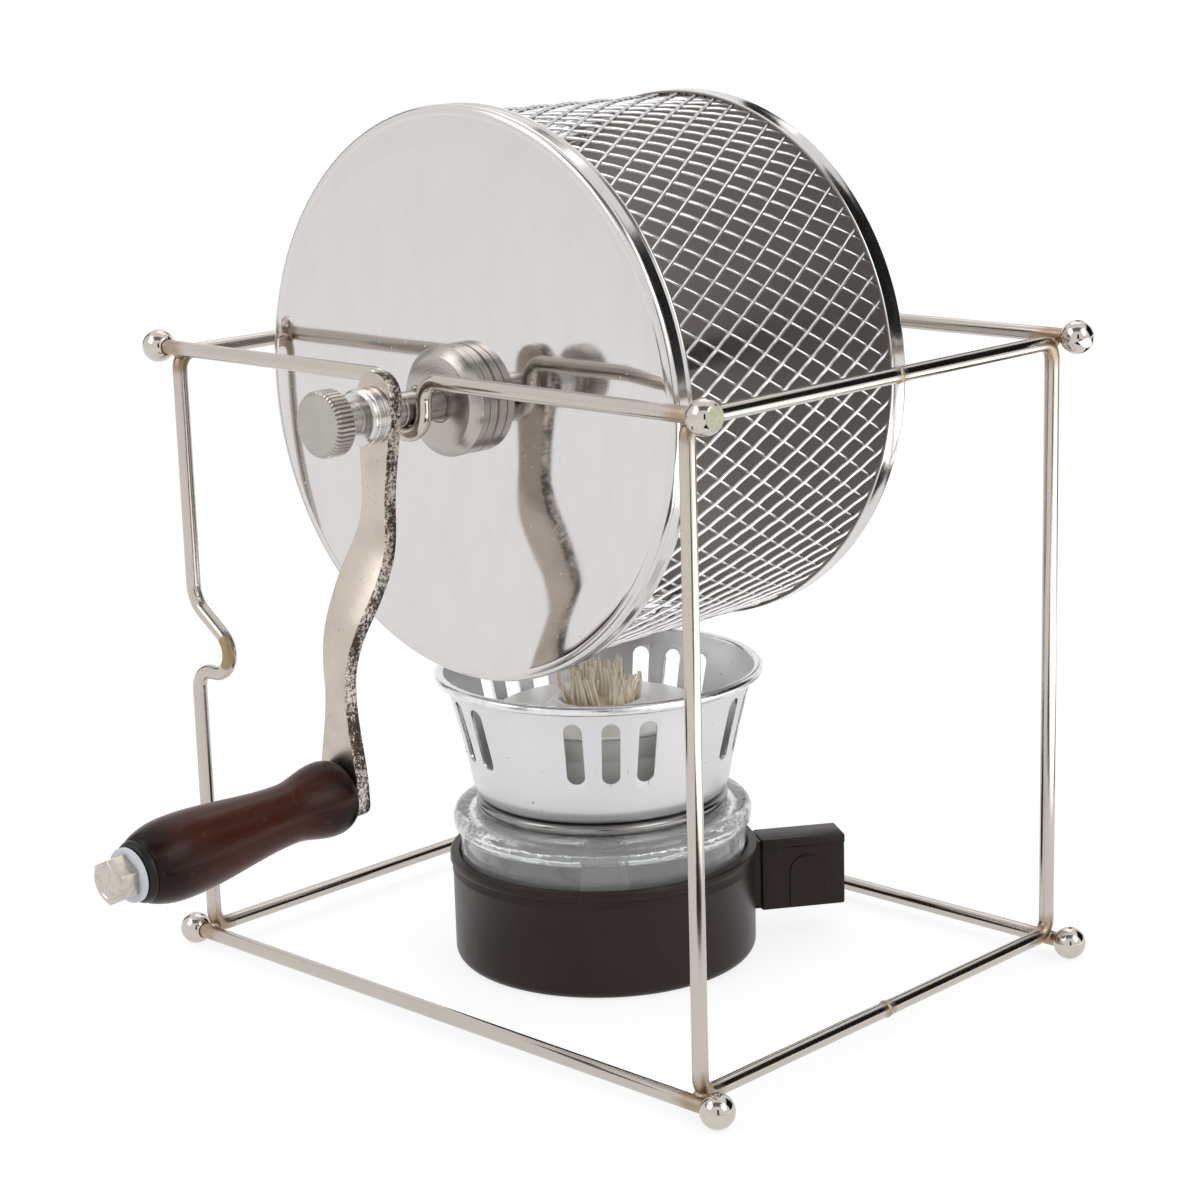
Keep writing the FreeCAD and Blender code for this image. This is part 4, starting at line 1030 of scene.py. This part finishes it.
class ROASTER_OT_axle(bpy.types.Operator):
    """Turns the shaft, its pins, the hub nut and the back hub"""
    bl_idname = "roaster.axle"
    bl_label = "Shaft and hubs"

    def execute(self, context):
        drum = settings("drum")
        steel = turned_steel(drum)
        shaft = [(2.4, 83.2), (3.1, 83.35), (3.25, 83.1), (3.25, 79.5), (3.95, 79.5),
                 (4.25, 79.1), (4.25, 76.2), (4.1, 76.0), (4.1, 75.6), (4.25, 75.4), (4.25, 62.4),
                 (4.25, 30), (4.25, 0), (4.25, -36), (4.25, -80.2), (3.6, -81), (0, -81)]
        lathe("axle_shaft", shaft, 64, on_axle(), "drum", steel, "drum_shaft")

        for node, y in (("front_pin", -68.6), ("back_pin", 68.6)):
            outline = [(1.5, 2.2), (1.5, 4.75)] + arc(1.1, 4.8, 0.4, 0, 90, 4)
            outline += [(0.75, 5.2), (0.5, 5.0), (0.25, 4.75), (0, 4.68)]
            place = Matrix.Translation(Vector((0, y, AXLE_Z)) * MM)
            lathe("axle_" + node, outline, 32, place, "drum", steel, node)

        hub, low, high = drum.hub / 2 / MM, 54.4, 62.1
        outline = [(4.33, low), (hub - 0.35, low), (hub, low + 0.35), (hub, low + 2.6),
                   (hub - 0.32, low + 2.75), (hub - 0.32, low + 2.95), (hub, low + 3.1),
                   (hub, high - 2.5), (hub - 0.12, high - 2.3), (hub - 2.3, high - 0.12),
                   (hub - 2.6, high), (5.1, high), (4.7, high - 0.35), (4.33, high - 0.4),
                   (4.33, low)]
        lathe("hub_disc", outline, 128, on_axle(), "drum", steel, "hub_nut", 25)

        tail = [(4.33, -36.0), (10.7, -36.0), (11, -36.3), (11, -40.7), (10.8, -40.9),
                (9.9, -41.8), (9.6, -41.9), (4.9, -41.9), (4.33, -41.6), (4.33, -36.0)]
        lathe("hub_back", tail, 96, on_axle(), "drum", steel, "back_hub", 25)
        return {"FINISHED"}


class ROASTER_OT_crank(bpy.types.Operator):
    """Forges the bent arm and turns its collar and knurled thumb screw"""
    bl_idname = "roaster.crank"
    bl_label = "Crank arm and screw"

    def path(self, y):
        """Distance out from the drum, and slope, of the arm's middle line at a height."""
        middle_z, first, step_out = 81.5, 31.0, 12.9
        slant, bend = math.radians(26.5), 30.0
        second = first + step_out / math.tan(slant)
        one = bend * math.tan(slant / 2)
        two = bend * math.tan((slant + ARM_LEAN) / 2)
        d = -y
        starts = (first - one, first + one * math.cos(slant), second - two * math.cos(slant),
                  second + two * math.cos(ARM_LEAN))
        if d <= starts[0]:
            return middle_z, 0.0
        if d <= starts[1]:
            turn = math.asin((d - starts[0]) / bend)
            return middle_z + bend * (1 - math.cos(turn)), turn
        if d <= starts[2]:
            return middle_z + (d - first) * math.tan(slant), slant
        if d <= starts[3]:
            turn = math.asin(math.sin(slant) - (d - starts[2]) / bend)
            start_z = middle_z + step_out - two * math.sin(slant)
            return start_z + bend * (math.cos(turn) - math.cos(slant)), turn
        return middle_z + step_out - (d - second) * math.tan(ARM_LEAN), -ARM_LEAN

    def half_width(self, y):
        """Half the arm's width: a round eye, a waist, a swelling, a waist and a blunt end."""
        top, eye, end, foot, blunt = 10.5, 6.0, 101.5, 7.2, 5.2
        if y > top - eye:
            return math.sqrt(max(eye ** 2 - (y - top + eye) ** 2, 0.36))
        d = -y
        marks = ((eye - top, eye), (22, 4.2), (41, 6.8), (69, 3.8), (end - blunt, foot))
        for (d0, w0), (d1, w1) in zip(marks, marks[1:]):
            if d <= d1:
                t = (d - d0) / (d1 - d0)
                return w0 + (w1 - w0) * (3 * t * t - 2 * t ** 3)
        t = (d - end + blunt) / blunt
        return foot * max(1 - t ** 3.2, 0.01) ** 0.5 + 0.4 * t

    def execute(self, context):
        crank, drum = settings("crank"), settings("drum")
        thick = crank.thick / MM
        steps = [10.4, 10.2, 9.8, 9.2, 8.4, 7.4, 6.2, 4.5]
        steps += [4.5 - i * 1.9 for i in range(1, 53)]
        steps += [-96.9, -98.2, -99.3, -100.2, -100.8, -101.2, -101.45]
        clear_selection()
        bpy.ops.mesh.primitive_plane_add(
            size=1, location=Vector((0, steps[0], self.path(steps[0])[0])) * MM)
        arm = named("arm_bar")
        edit_all()
        bpy.ops.transform.rotate(value=-math.pi / 2, orient_axis="X",
                                 center_override=arm.location)
        bpy.ops.transform.resize(value=(2 * self.half_width(steps[0]) * MM, 1, thick * MM),
                                 center_override=arm.location)
        for y0, y1 in zip(steps, steps[1:]):
            (z0, s0), (z1, s1) = self.path(y0), self.path(y1)
            spot = Vector((0, y1, z1)) * MM
            bpy.ops.mesh.extrude_region_move(
                TRANSFORM_OT_translate={"value": Vector((0, y1 - y0, z1 - z0)) * MM})
            if abs(s1 - s0) > 1e-6:
                bpy.ops.transform.rotate(value=s1 - s0, orient_axis="X", center_override=spot)
            ratio = self.half_width(y1) / self.half_width(y0)
            bpy.ops.transform.resize(value=(ratio, 1, 1), center_override=spot)
        close_edit()
        coat_faces(arm, 1, lambda c, n: abs(n.z) < 0.35 or c.y > 10.3 or c.y < -101.3)
        rounded(arm, 0.42, 3, 50, material=2)
        settle(arm, on_axle(REST_TURN))
        dress(arm, "drum", [cast_face(crank), cast_edge(crank), cast_face(crank)],
              ["crank_arm"], 40)

        steel = turned_steel(drum, "collar_steel", -0.07, (0.66, 0.64, 0.62))
        low = 83.5
        outline = [(2.65, low), (6.6, low), (7.0, low + 0.4), (7.0, low + 1.1), (6.75, low + 1.3),
                   (7.0, low + 1.5), (7.0, low + 3.6), (6.55, low + 3.9), (6.55, low + 4.25),
                   (7.0, low + 4.6), (6.9, low + 5.1), (6.3, low + 5.6), (2.65, low + 5.6),
                   (2.65, low)]
        lathe("arm_collar", outline, 96, on_axle(), "drum", steel,
              "crank_collar", 28)

        seat, knob = 89.15, crank.knob / 2 / MM
        face = seat + 12.1
        outline = [(2.2, seat - 17), (2.35, seat - 16.4), (2.35, seat), (4.1, seat),
                   (4.1, seat + 0.5), (3.8, seat + 0.8), (3.8, seat + 4.9), (4.1, seat + 5.4),
                   (5.3, seat + 5.4), (5.3, seat + 6.7), (knob - 0.6, seat + 6.7),
                   (knob, seat + 7.2), (knob, face - 0.7), (knob - 0.2, face - 0.35),
                   (knob - 0.75, face), (knob - 1.4, face), (knob - 1.8, face - 0.12),
                   (0, face - 0.12)]
        sides = crank.knurls * 4
        screw = turned("knurled_screw", outline, sides)
        pick(screw, lambda v: v.z > seat + 6.6 and math.hypot(v.x, v.y) > knob - 0.9
             and round(math.atan2(v.y, v.x) / (2 * math.pi) * sides) % 4 == 0)
        bpy.ops.transform.resize(value=(0.93, 0.93, 1), center_override=(0, 0, 0))
        leave_edit()
        settle(screw, on_axle())
        dress(screw, "thumb_screw", turned_steel(drum, "knob_steel", 0.1),
              ["thumb_screw"], 22)
        return {"FINISHED"}


class ROASTER_OT_grip(bpy.types.Operator):
    """Turns the wooden grip, its end ring and washer, and makes the hexagon bolt"""
    bl_idname = "roaster.grip"
    bl_label = "Grip and bolt"

    def execute(self, context):
        crank = settings("crank")
        length, bore, low = crank.grip / MM, 3.03, 0.3
        outline = [(bore, low), (6.9, low), (7.5, low + 0.15)]
        outline += [(7.5 + 2.1 * math.sqrt(1 - (1 - i / 8) ** 2), low + 0.15 + 4.55 * i / 8)
                    for i in range(1, 9)]
        outline += eased(5, 17.5, 9.6, 7.6, 12) + eased(17.5, 51, 7.6, 10.3, 22)
        top = low + length
        outline += [(10.3 - 2.4 * (i / 10) ** 2.4, 51 + (top - 51) * i / 10) for i in range(1, 10)]
        outline += [(7.9, top - 0.25), (7.7, top), (bore, top), (bore, low)]
        lathe("grip_wood", outline, 96, on_grip(), "grip", stained_wood(crank),
              "grip", 40)

        low = top + 0.05
        outline = [(bore, low), (7.55, low), (7.7, low + 0.2), (7.65, low + 0.7), (7.2, low + 1.5),
                   (6.9, low + 1.9), (6.6, low + 2.0), (bore, low + 2.0), (bore, low)]
        lathe("grip_ring", outline, 96, on_grip(), "grip", black_ring(),
              "grip_ferrule", 40)

        low += 2.3
        outline = [(bore, low), (6.55, low), (6.7, low + 0.15), (6.7, low + 1.15),
                   (6.55, low + 1.4), (6.3, low + 1.5), (bore, low + 1.5), (bore, low)]
        lathe("bolt_washer", outline, 96, on_grip(), "drum", pale_washer(crank),
              "grip_washer", 40)

        low += 1.55
        flats, tall, shank = 5.0, 5.6, 2.95
        clear_selection()
        bpy.ops.mesh.primitive_cylinder_add(
            vertices=6, radius=flats / math.cos(math.pi / 6) * MM, depth=tall * MM,
            location=(0, 0, (low + tall / 2) * MM), rotation=(0, 0, math.pi / 6))
        head = named("bolt_head")
        settle(head)
        head_top = low + tall
        outline = [(5.2, low - 1), (7.4, low - 1), (7.4, head_top - 1.45), (4.9, head_top - 0.1),
                   (4.6, head_top), (4.1, head_top), (3.7, head_top - 0.4), (0, head_top - 0.4)]
        carve(head, turned("head_limit", outline, 96), "INTERSECT")
        settle(head, Matrix.Rotation(math.pi / 6, 4, "Z"))
        rod = turned("shank", [(shank, low + 0.4), (shank, -3.2), (shank - 0.4, -3.6),
                               (0, -3.6)], 48)
        bolt = settle(joined("hex_bolt", [head, rod]), on_grip())
        rounded(bolt, 0.14, 2, 25)
        dress(bolt, "drum", bolt_nickel(), ["grip_bolt"], 35)
        return {"FINISHED"}


class ROASTER_OT_cup(bpy.types.Operator):
    """Moulds the burner's cup with its box handle"""
    bl_idname = "roaster.cup"
    bl_label = "Burner cup"

    def execute(self, context):
        burner = settings("burner")
        radius, top = burner.cup / MM, burner.height / MM
        lip, inner, floor = radius + 0.7, radius - 2, 3.0
        outline = [(radius - 3.6, 0), (radius - 3, 0.02)]
        outline += arc(radius - 3, 3, 3, -78, 0, 8)
        outline += [(radius, 8), (radius, top - 5.4), (radius + 0.18, top - 5.1),
                    (radius + 0.18, top - 4.5), (radius, top - 4.2), (radius, top - 2.9),
                    (lip - 0.12, top - 2.2), (lip, top - 2.0), (lip, top - 0.5), (lip - 0.35, top),
                    (inner + 0.4, top), (inner, top - 0.4), (inner, floor + 1.0),
                    (inner - 1.0, floor), (0, floor)]
        cup = turned("cup_shell", outline, 160)
        reach, thick, low, high = burner.reach / MM, 11.0, 7.6, 28.3
        start = radius + 1.9

        def block(name, x0, x1, half, z0, z1):
            clear_selection()
            bpy.ops.mesh.primitive_cube_add(size=1, location=Vector(
                ((x0 + x1) / 2, 0, (z0 + z1) / 2)) * MM)
            box = named(name)
            box.scale = Vector((x1 - x0, 2 * half, z1 - z0)) * MM
            return settle(box)

        handle = block("handle_box", start, reach, thick / 2 - 0.5, low, high)
        edit_all()
        for height in (high - 2.9, high - 2.3):
            bpy.ops.mesh.select_all(action="SELECT")
            bpy.ops.mesh.bisect(plane_co=(0, 0, height * MM), plane_no=(0, 0, 1))
        leave_edit()
        pick(handle, lambda v: v.z > high - 2.4)
        bpy.ops.transform.resize(value=(1, thick / (thick - 1.0), 1), center_override=(0, 0, 0))
        leave_edit()
        rounded(handle, 0.75, 3, 50)
        root = block("handle_root", inner + 0.7, start + 1.2, thick / 2 - 1.3, low + 0.6,
                     high - 0.5)
        carve(handle, root, "UNION")
        clear_selection()
        arch_x, arch_r = reach - 11.1, 4.9
        bpy.ops.mesh.primitive_cylinder_add(
            vertices=64, radius=arch_r * MM, depth=(thick - 0.08) * MM,
            location=Vector((arch_x, 0, high - 10.2)) * MM, rotation=(math.pi / 2, 0, 0))
        arch = named("arch")
        settle(arch)
        pick(arch, lambda v: v.z < high - 10.3)
        bpy.ops.transform.resize(value=(1, 1, 0.0), center_override=(0, 0, (low + 0.45) * MM))
        leave_edit()
        carve(handle, arch, "UNION")
        carve(cup, handle, "UNION")
        settle(cup, on_burner(HANDLE_TURN))
        dress(cup, "burner", brown_plastic(burner), ["burner_base"], 35)
        return {"FINISHED"}


class ROASTER_OT_jar(bpy.types.Operator):
    """Blows the glass jar and fills it"""
    bl_idname = "roaster.jar"
    bl_label = "Glass jar and fuel"

    def execute(self, context):
        burner = settings("burner")
        glass = clear("clear_glass", burner.glass, 1.45, 0.02, 7, 0.25, 0.09)
        thick = clear("lip_glass", burner.glass, 1.5, 0.04, 4.5, 0.5, 0.13)
        frosted = clear("neck_glass", (0.80, 0.82, 0.77), 1.4, 0.42, 5, 0.2, 0.68)
        liquid = clear("clear_fuel", (0.96, 0.975, 0.965), 1.36, 0.0, 30, 0.01)
        lip, wall, foot = burner.lip / MM, 39.3, 3.05
        outline = [(wall - 4.6, foot), (wall - 4, foot)]
        outline += arc(wall - 4, foot + 4, 4, -80, 0, 7)
        outline += [(wall, 20), (wall, 36.2), (wall + 0.15, 36.6)]
        outline += arc(lip - 2.2, 38.9, 2.2, -70, 0, 8) + arc(lip - 2.6, 40.4, 2.6, 0, 78, 9)
        outline += [(36, 43), (31, 43), (29.4, 43.1), (29, 43.6), (29, 55), (29, 60.8),
                    (28.6, 61.6), (28.6, 62.3), (29, 63), (29, 66.8), (28.7, 67.7), (28.1, 68),
                    (27.4, 67.8), (26.8, 67.2), (26.8, 44.5), (26.9, 41.2), (27.6, 40.2),
                    (35.6, 38.9), (36.6, 38), (36.8, 37), (36.8, 8), (36.2, 6.2), (34.5, 5.55),
                    (0, 5.55)]
        jar = settle(turned("glass_jar", outline, 160), on_burner())
        coat_faces(jar, 1, lambda c, n: 36.6 < c.z < 43.3 and math.hypot(
            c.x - BURNER.x, c.y - BURNER.y) > 33)
        coat_faces(jar, 2, lambda c, n: c.z > 43.3)
        dress(jar, "jar", [glass, thick, frosted], ["fuel_jar"], 45)

        gap = 0.06
        inner, neck = 36.8 - gap, 26.8 - gap
        outline = [(34.5, 5.55 + gap), (36.2 - gap, 6.2 + gap), (inner, 8), (inner, 37),
                   (36.6 - gap, 38 - gap), (35.6, 38.9 - gap), (27.6 - gap, 40.2 - gap),
                   (26.9 - gap, 41.2), (neck, 44.5), (neck, 61.5), (neck - 0.5, 61.2),
                   (neck - 1.4, 61.1), (0, 61.1)]
        lathe("jar_fuel", outline, 128, on_burner(), "jar", liquid, "fuel", 45)
        return {"FINISHED"}


class ROASTER_OT_wick(bpy.types.Operator):
    """Makes the cap, the glazed wick holder and the frayed cotton tuft"""
    bl_idname = "roaster.wick"
    bl_label = "Wick"

    def execute(self, context):
        burner = settings("burner")
        glaze = ceramic(burner)
        outline = [(12.8, 68.05), (25.6, 68.05), (25.6, 64.05), (26.6, 64.05), (26.6, 68.05),
                   (28.6, 68.05), (28.95, 68.3), (28.95, 68.75), (28.6, 69.05), (20, 69.05),
                   (12.8, 69.05), (12.8, 68.05)]
        lathe("jar_cap", outline, 128, on_burner(), "jar", glaze,
              "mouth_cap", 40)
        outline = [(10.4, 64.3), (12.6, 64.3), (12.6, 69.1), (14.5, 69.1)]
        outline += arc(14.5, 69.7, 0.5, -80, 80, 7)
        outline += [(12.9, 70.3), (12.6, 70.6)] + arc(11.6, 71.4, 0.95, 0, 180, 12)
        outline += [(10.45, 71), (10.4, 64.3)]
        lathe("wick_socket", outline, 128, on_burner(), "jar", glaze,
              "wick_holder", 40)

        rng = random.Random(11)
        tuft = threads("wick_tuft", 0.42 * MM, 0)
        for i in range(burner.strands):
            share = random.Random(i // 9)
            spread = math.sqrt(share.uniform(0.0, 1))
            around = share.uniform(0, 2 * math.pi) + rng.gauss(0, 0.13) / max(spread, 0.3)
            tall = share.uniform(9.6, 12.6) - 3.2 * spread ** 3 + rng.uniform(-1.0, 0.4)
            foot = 9.0 * min(spread * rng.uniform(0.92, 1.05), 1.0)
            flare = 1.26 + share.uniform(-0.08, 0.14)
            drift, sway = share.uniform(-0.20, 0.20), rng.uniform(0, 2 * math.pi)
            spline = tuft.data.splines.new("NURBS")
            spline.points.add(7)
            for k, point in enumerate(spline.points):
                t = k / 7
                wave = 0.42 * math.sin(sway + 8 * t)
                out = min(foot * (1 + (flare - 1) * t * (1.5 - 0.5 * t)) + wave, 11.5)
                turn = around + drift * t + wave * 0.04
                droop = max(t - 0.8, 0) * 5 * spread * (rng.random() - 0.2)
                z = 69.5 + (tall + 2.4) * t * (1.12 - 0.12 * t) - droop
                point.co = (out * math.cos(turn) * MM, out * math.sin(turn) * MM,
                            min(z, 83.2) * MM, 1)
                point.radius = 1.0 - 0.35 * t + 0.2 * math.sin(sway + 5 * t)
            spline.order_u = 3
            spline.use_endpoint_u = True
            spline.resolution_u = 2
        to_mesh(tuft)
        # The stem wears the cotton paint, so below the holder it is painted the shaded grey of the
        # jar's inside
        stem = turned("wick_stem", [(4.5, 7.5), (4.5, 65.3), (8.4, 67.2), (9.6, 69.5), (9.2, 71.4),
                                    (5.2, 73.4), (0, 74)], 48)
        tuft = settle(joined("wick_cotton", [tuft, stem]), on_burner())
        dress(tuft, "jar", cotton(burner), ["wick"], 60)
        return {"FINISHED"}


class ROASTER_OT_shield(bpy.types.Operator):
    """Spins the slotted wind shield and the ring that it stands on"""
    bl_idname = "roaster.shield"
    bl_label = "Wind shield"

    def execute(self, context):
        burner = settings("burner")
        low = 43.05
        outline = [(29.3, low), (33.6, low), (34.3, low + 0.4), (34.5, low + 1.1),
                   (34.5, low + 2.0), (34.2, low + 2.6), (33.5, low + 2.95), (29.3, low + 2.95),
                   (29.3, low)]
        lathe("shoulder_ring", outline, 128, on_burner(), "jar", dark_ring(),
              "shield_ring", 40)

        rim, low, thin = burner.rim / MM, 46.05, 0.9
        bead, bead_z = 1.4, 80.2
        outer = [(29.3, low), (31.2, low), (33.0, low + 0.5), (34.4, low + 1.7),
                 (35.3, low + 4.4), (36.2, 55.5), (38.0, 63.4), (40.1, 72.0), (41.5, 77.4),
                 (41.9, 78.4), (42.6, 78.75)]
        roll = arc(rim - bead, bead_z, bead, -90, 175, 18)
        inner = [(41.3, 78.3), (40.7, 77.2), (39.2, 72.0), (37.1, 63.4), (35.3, 55.5),
                 (34.4, low + 4.4), (33.5, low + 2.4), (32.2, low + 1.2), (31.0, low + thin),
                 (29.3, low + thin), (29.3, low)]
        shield = turned("shield_wall", outer + roll + inner, 192)
        tools = []
        for group in range(5):
            for place in range(3):
                turn = math.radians(group * 72 + place * 14.2)
                clear_selection()
                bpy.ops.mesh.primitive_cylinder_add(
                    vertices=32, radius=2.45 * MM, depth=20 * MM,
                    location=(40 * MM, 0, 73.55 * MM), rotation=(0, math.pi / 2, 0))
                tool = named("slot_tool")
                settle(tool)
                pick(tool, lambda v: v.z < 73.5)
                bpy.ops.transform.translate(value=(0, 0, -12.7 * MM))
                leave_edit()
                settle(tool, Matrix.Rotation(turn, 4, "Z"))
                tools.append(tool)
        cutter = joined("slot_tools", tools)
        sheet, edge = shield_sheet(burner), bright_edge()
        for piece in (shield, cutter):
            piece.data.materials.append(sheet)
            piece.data.materials.append(edge)
        coat_faces(cutter, 1, lambda c, n: True)
        carve(shield, cutter)
        roll_low = bead_z - bead - 0.05
        coat_faces(shield, 1, lambda c, n: c.z > roll_low and math.hypot(c.x, c.y) > rim - 2.7)
        rounded(shield, 0.16, 2, 50, material=1)
        settle(shield, on_burner(SLOT_TURN))
        dress(shield, "wind_shield", [sheet, edge], ["wind_shield"], 35)
        return {"FINISHED"}


STEPS = (ROASTER_OT_stage, ROASTER_OT_wires, ROASTER_OT_balls, ROASTER_OT_drum_ends,
         ROASTER_OT_drum_mesh, ROASTER_OT_axle, ROASTER_OT_crank, ROASTER_OT_grip,
         ROASTER_OT_cup, ROASTER_OT_jar, ROASTER_OT_wick, ROASTER_OT_shield)


class ROASTER_PT_panel(bpy.types.Panel):
    """Lists the roaster's settings and the steps that make it"""
    bl_idname = "ROASTER_PT_panel"
    bl_label = "Bean Roaster"
    bl_space_type = "VIEW_3D"
    bl_region_type = "UI"
    bl_category = "Roaster"

    def draw(self, context):
        for name, group in GROUPS.items():
            box = self.layout.box()
            box.label(text=name.capitalize())
            for key in group.__annotations__:
                box.prop(settings(name), key)
        for step in STEPS:
            self.layout.operator(step.bl_idname)


def register():
    for name, group in GROUPS.items():
        bpy.utils.register_class(group)
        setattr(bpy.types.Scene, "roaster_" + name, bpy.props.PointerProperty(type=group))
    for step in STEPS:
        bpy.utils.register_class(step)
    bpy.utils.register_class(ROASTER_PT_panel)


def unregister():
    bpy.utils.unregister_class(ROASTER_PT_panel)
    for step in reversed(STEPS):
        bpy.utils.unregister_class(step)
    for name, group in GROUPS.items():
        delattr(bpy.types.Scene, "roaster_" + name)
        bpy.utils.unregister_class(group)


def main():
    register()
    for step in STEPS:
        area, action = step.bl_idname.split(".")
        getattr(getattr(bpy.ops, area), action)()


if __name__ == "__main__":
    main()
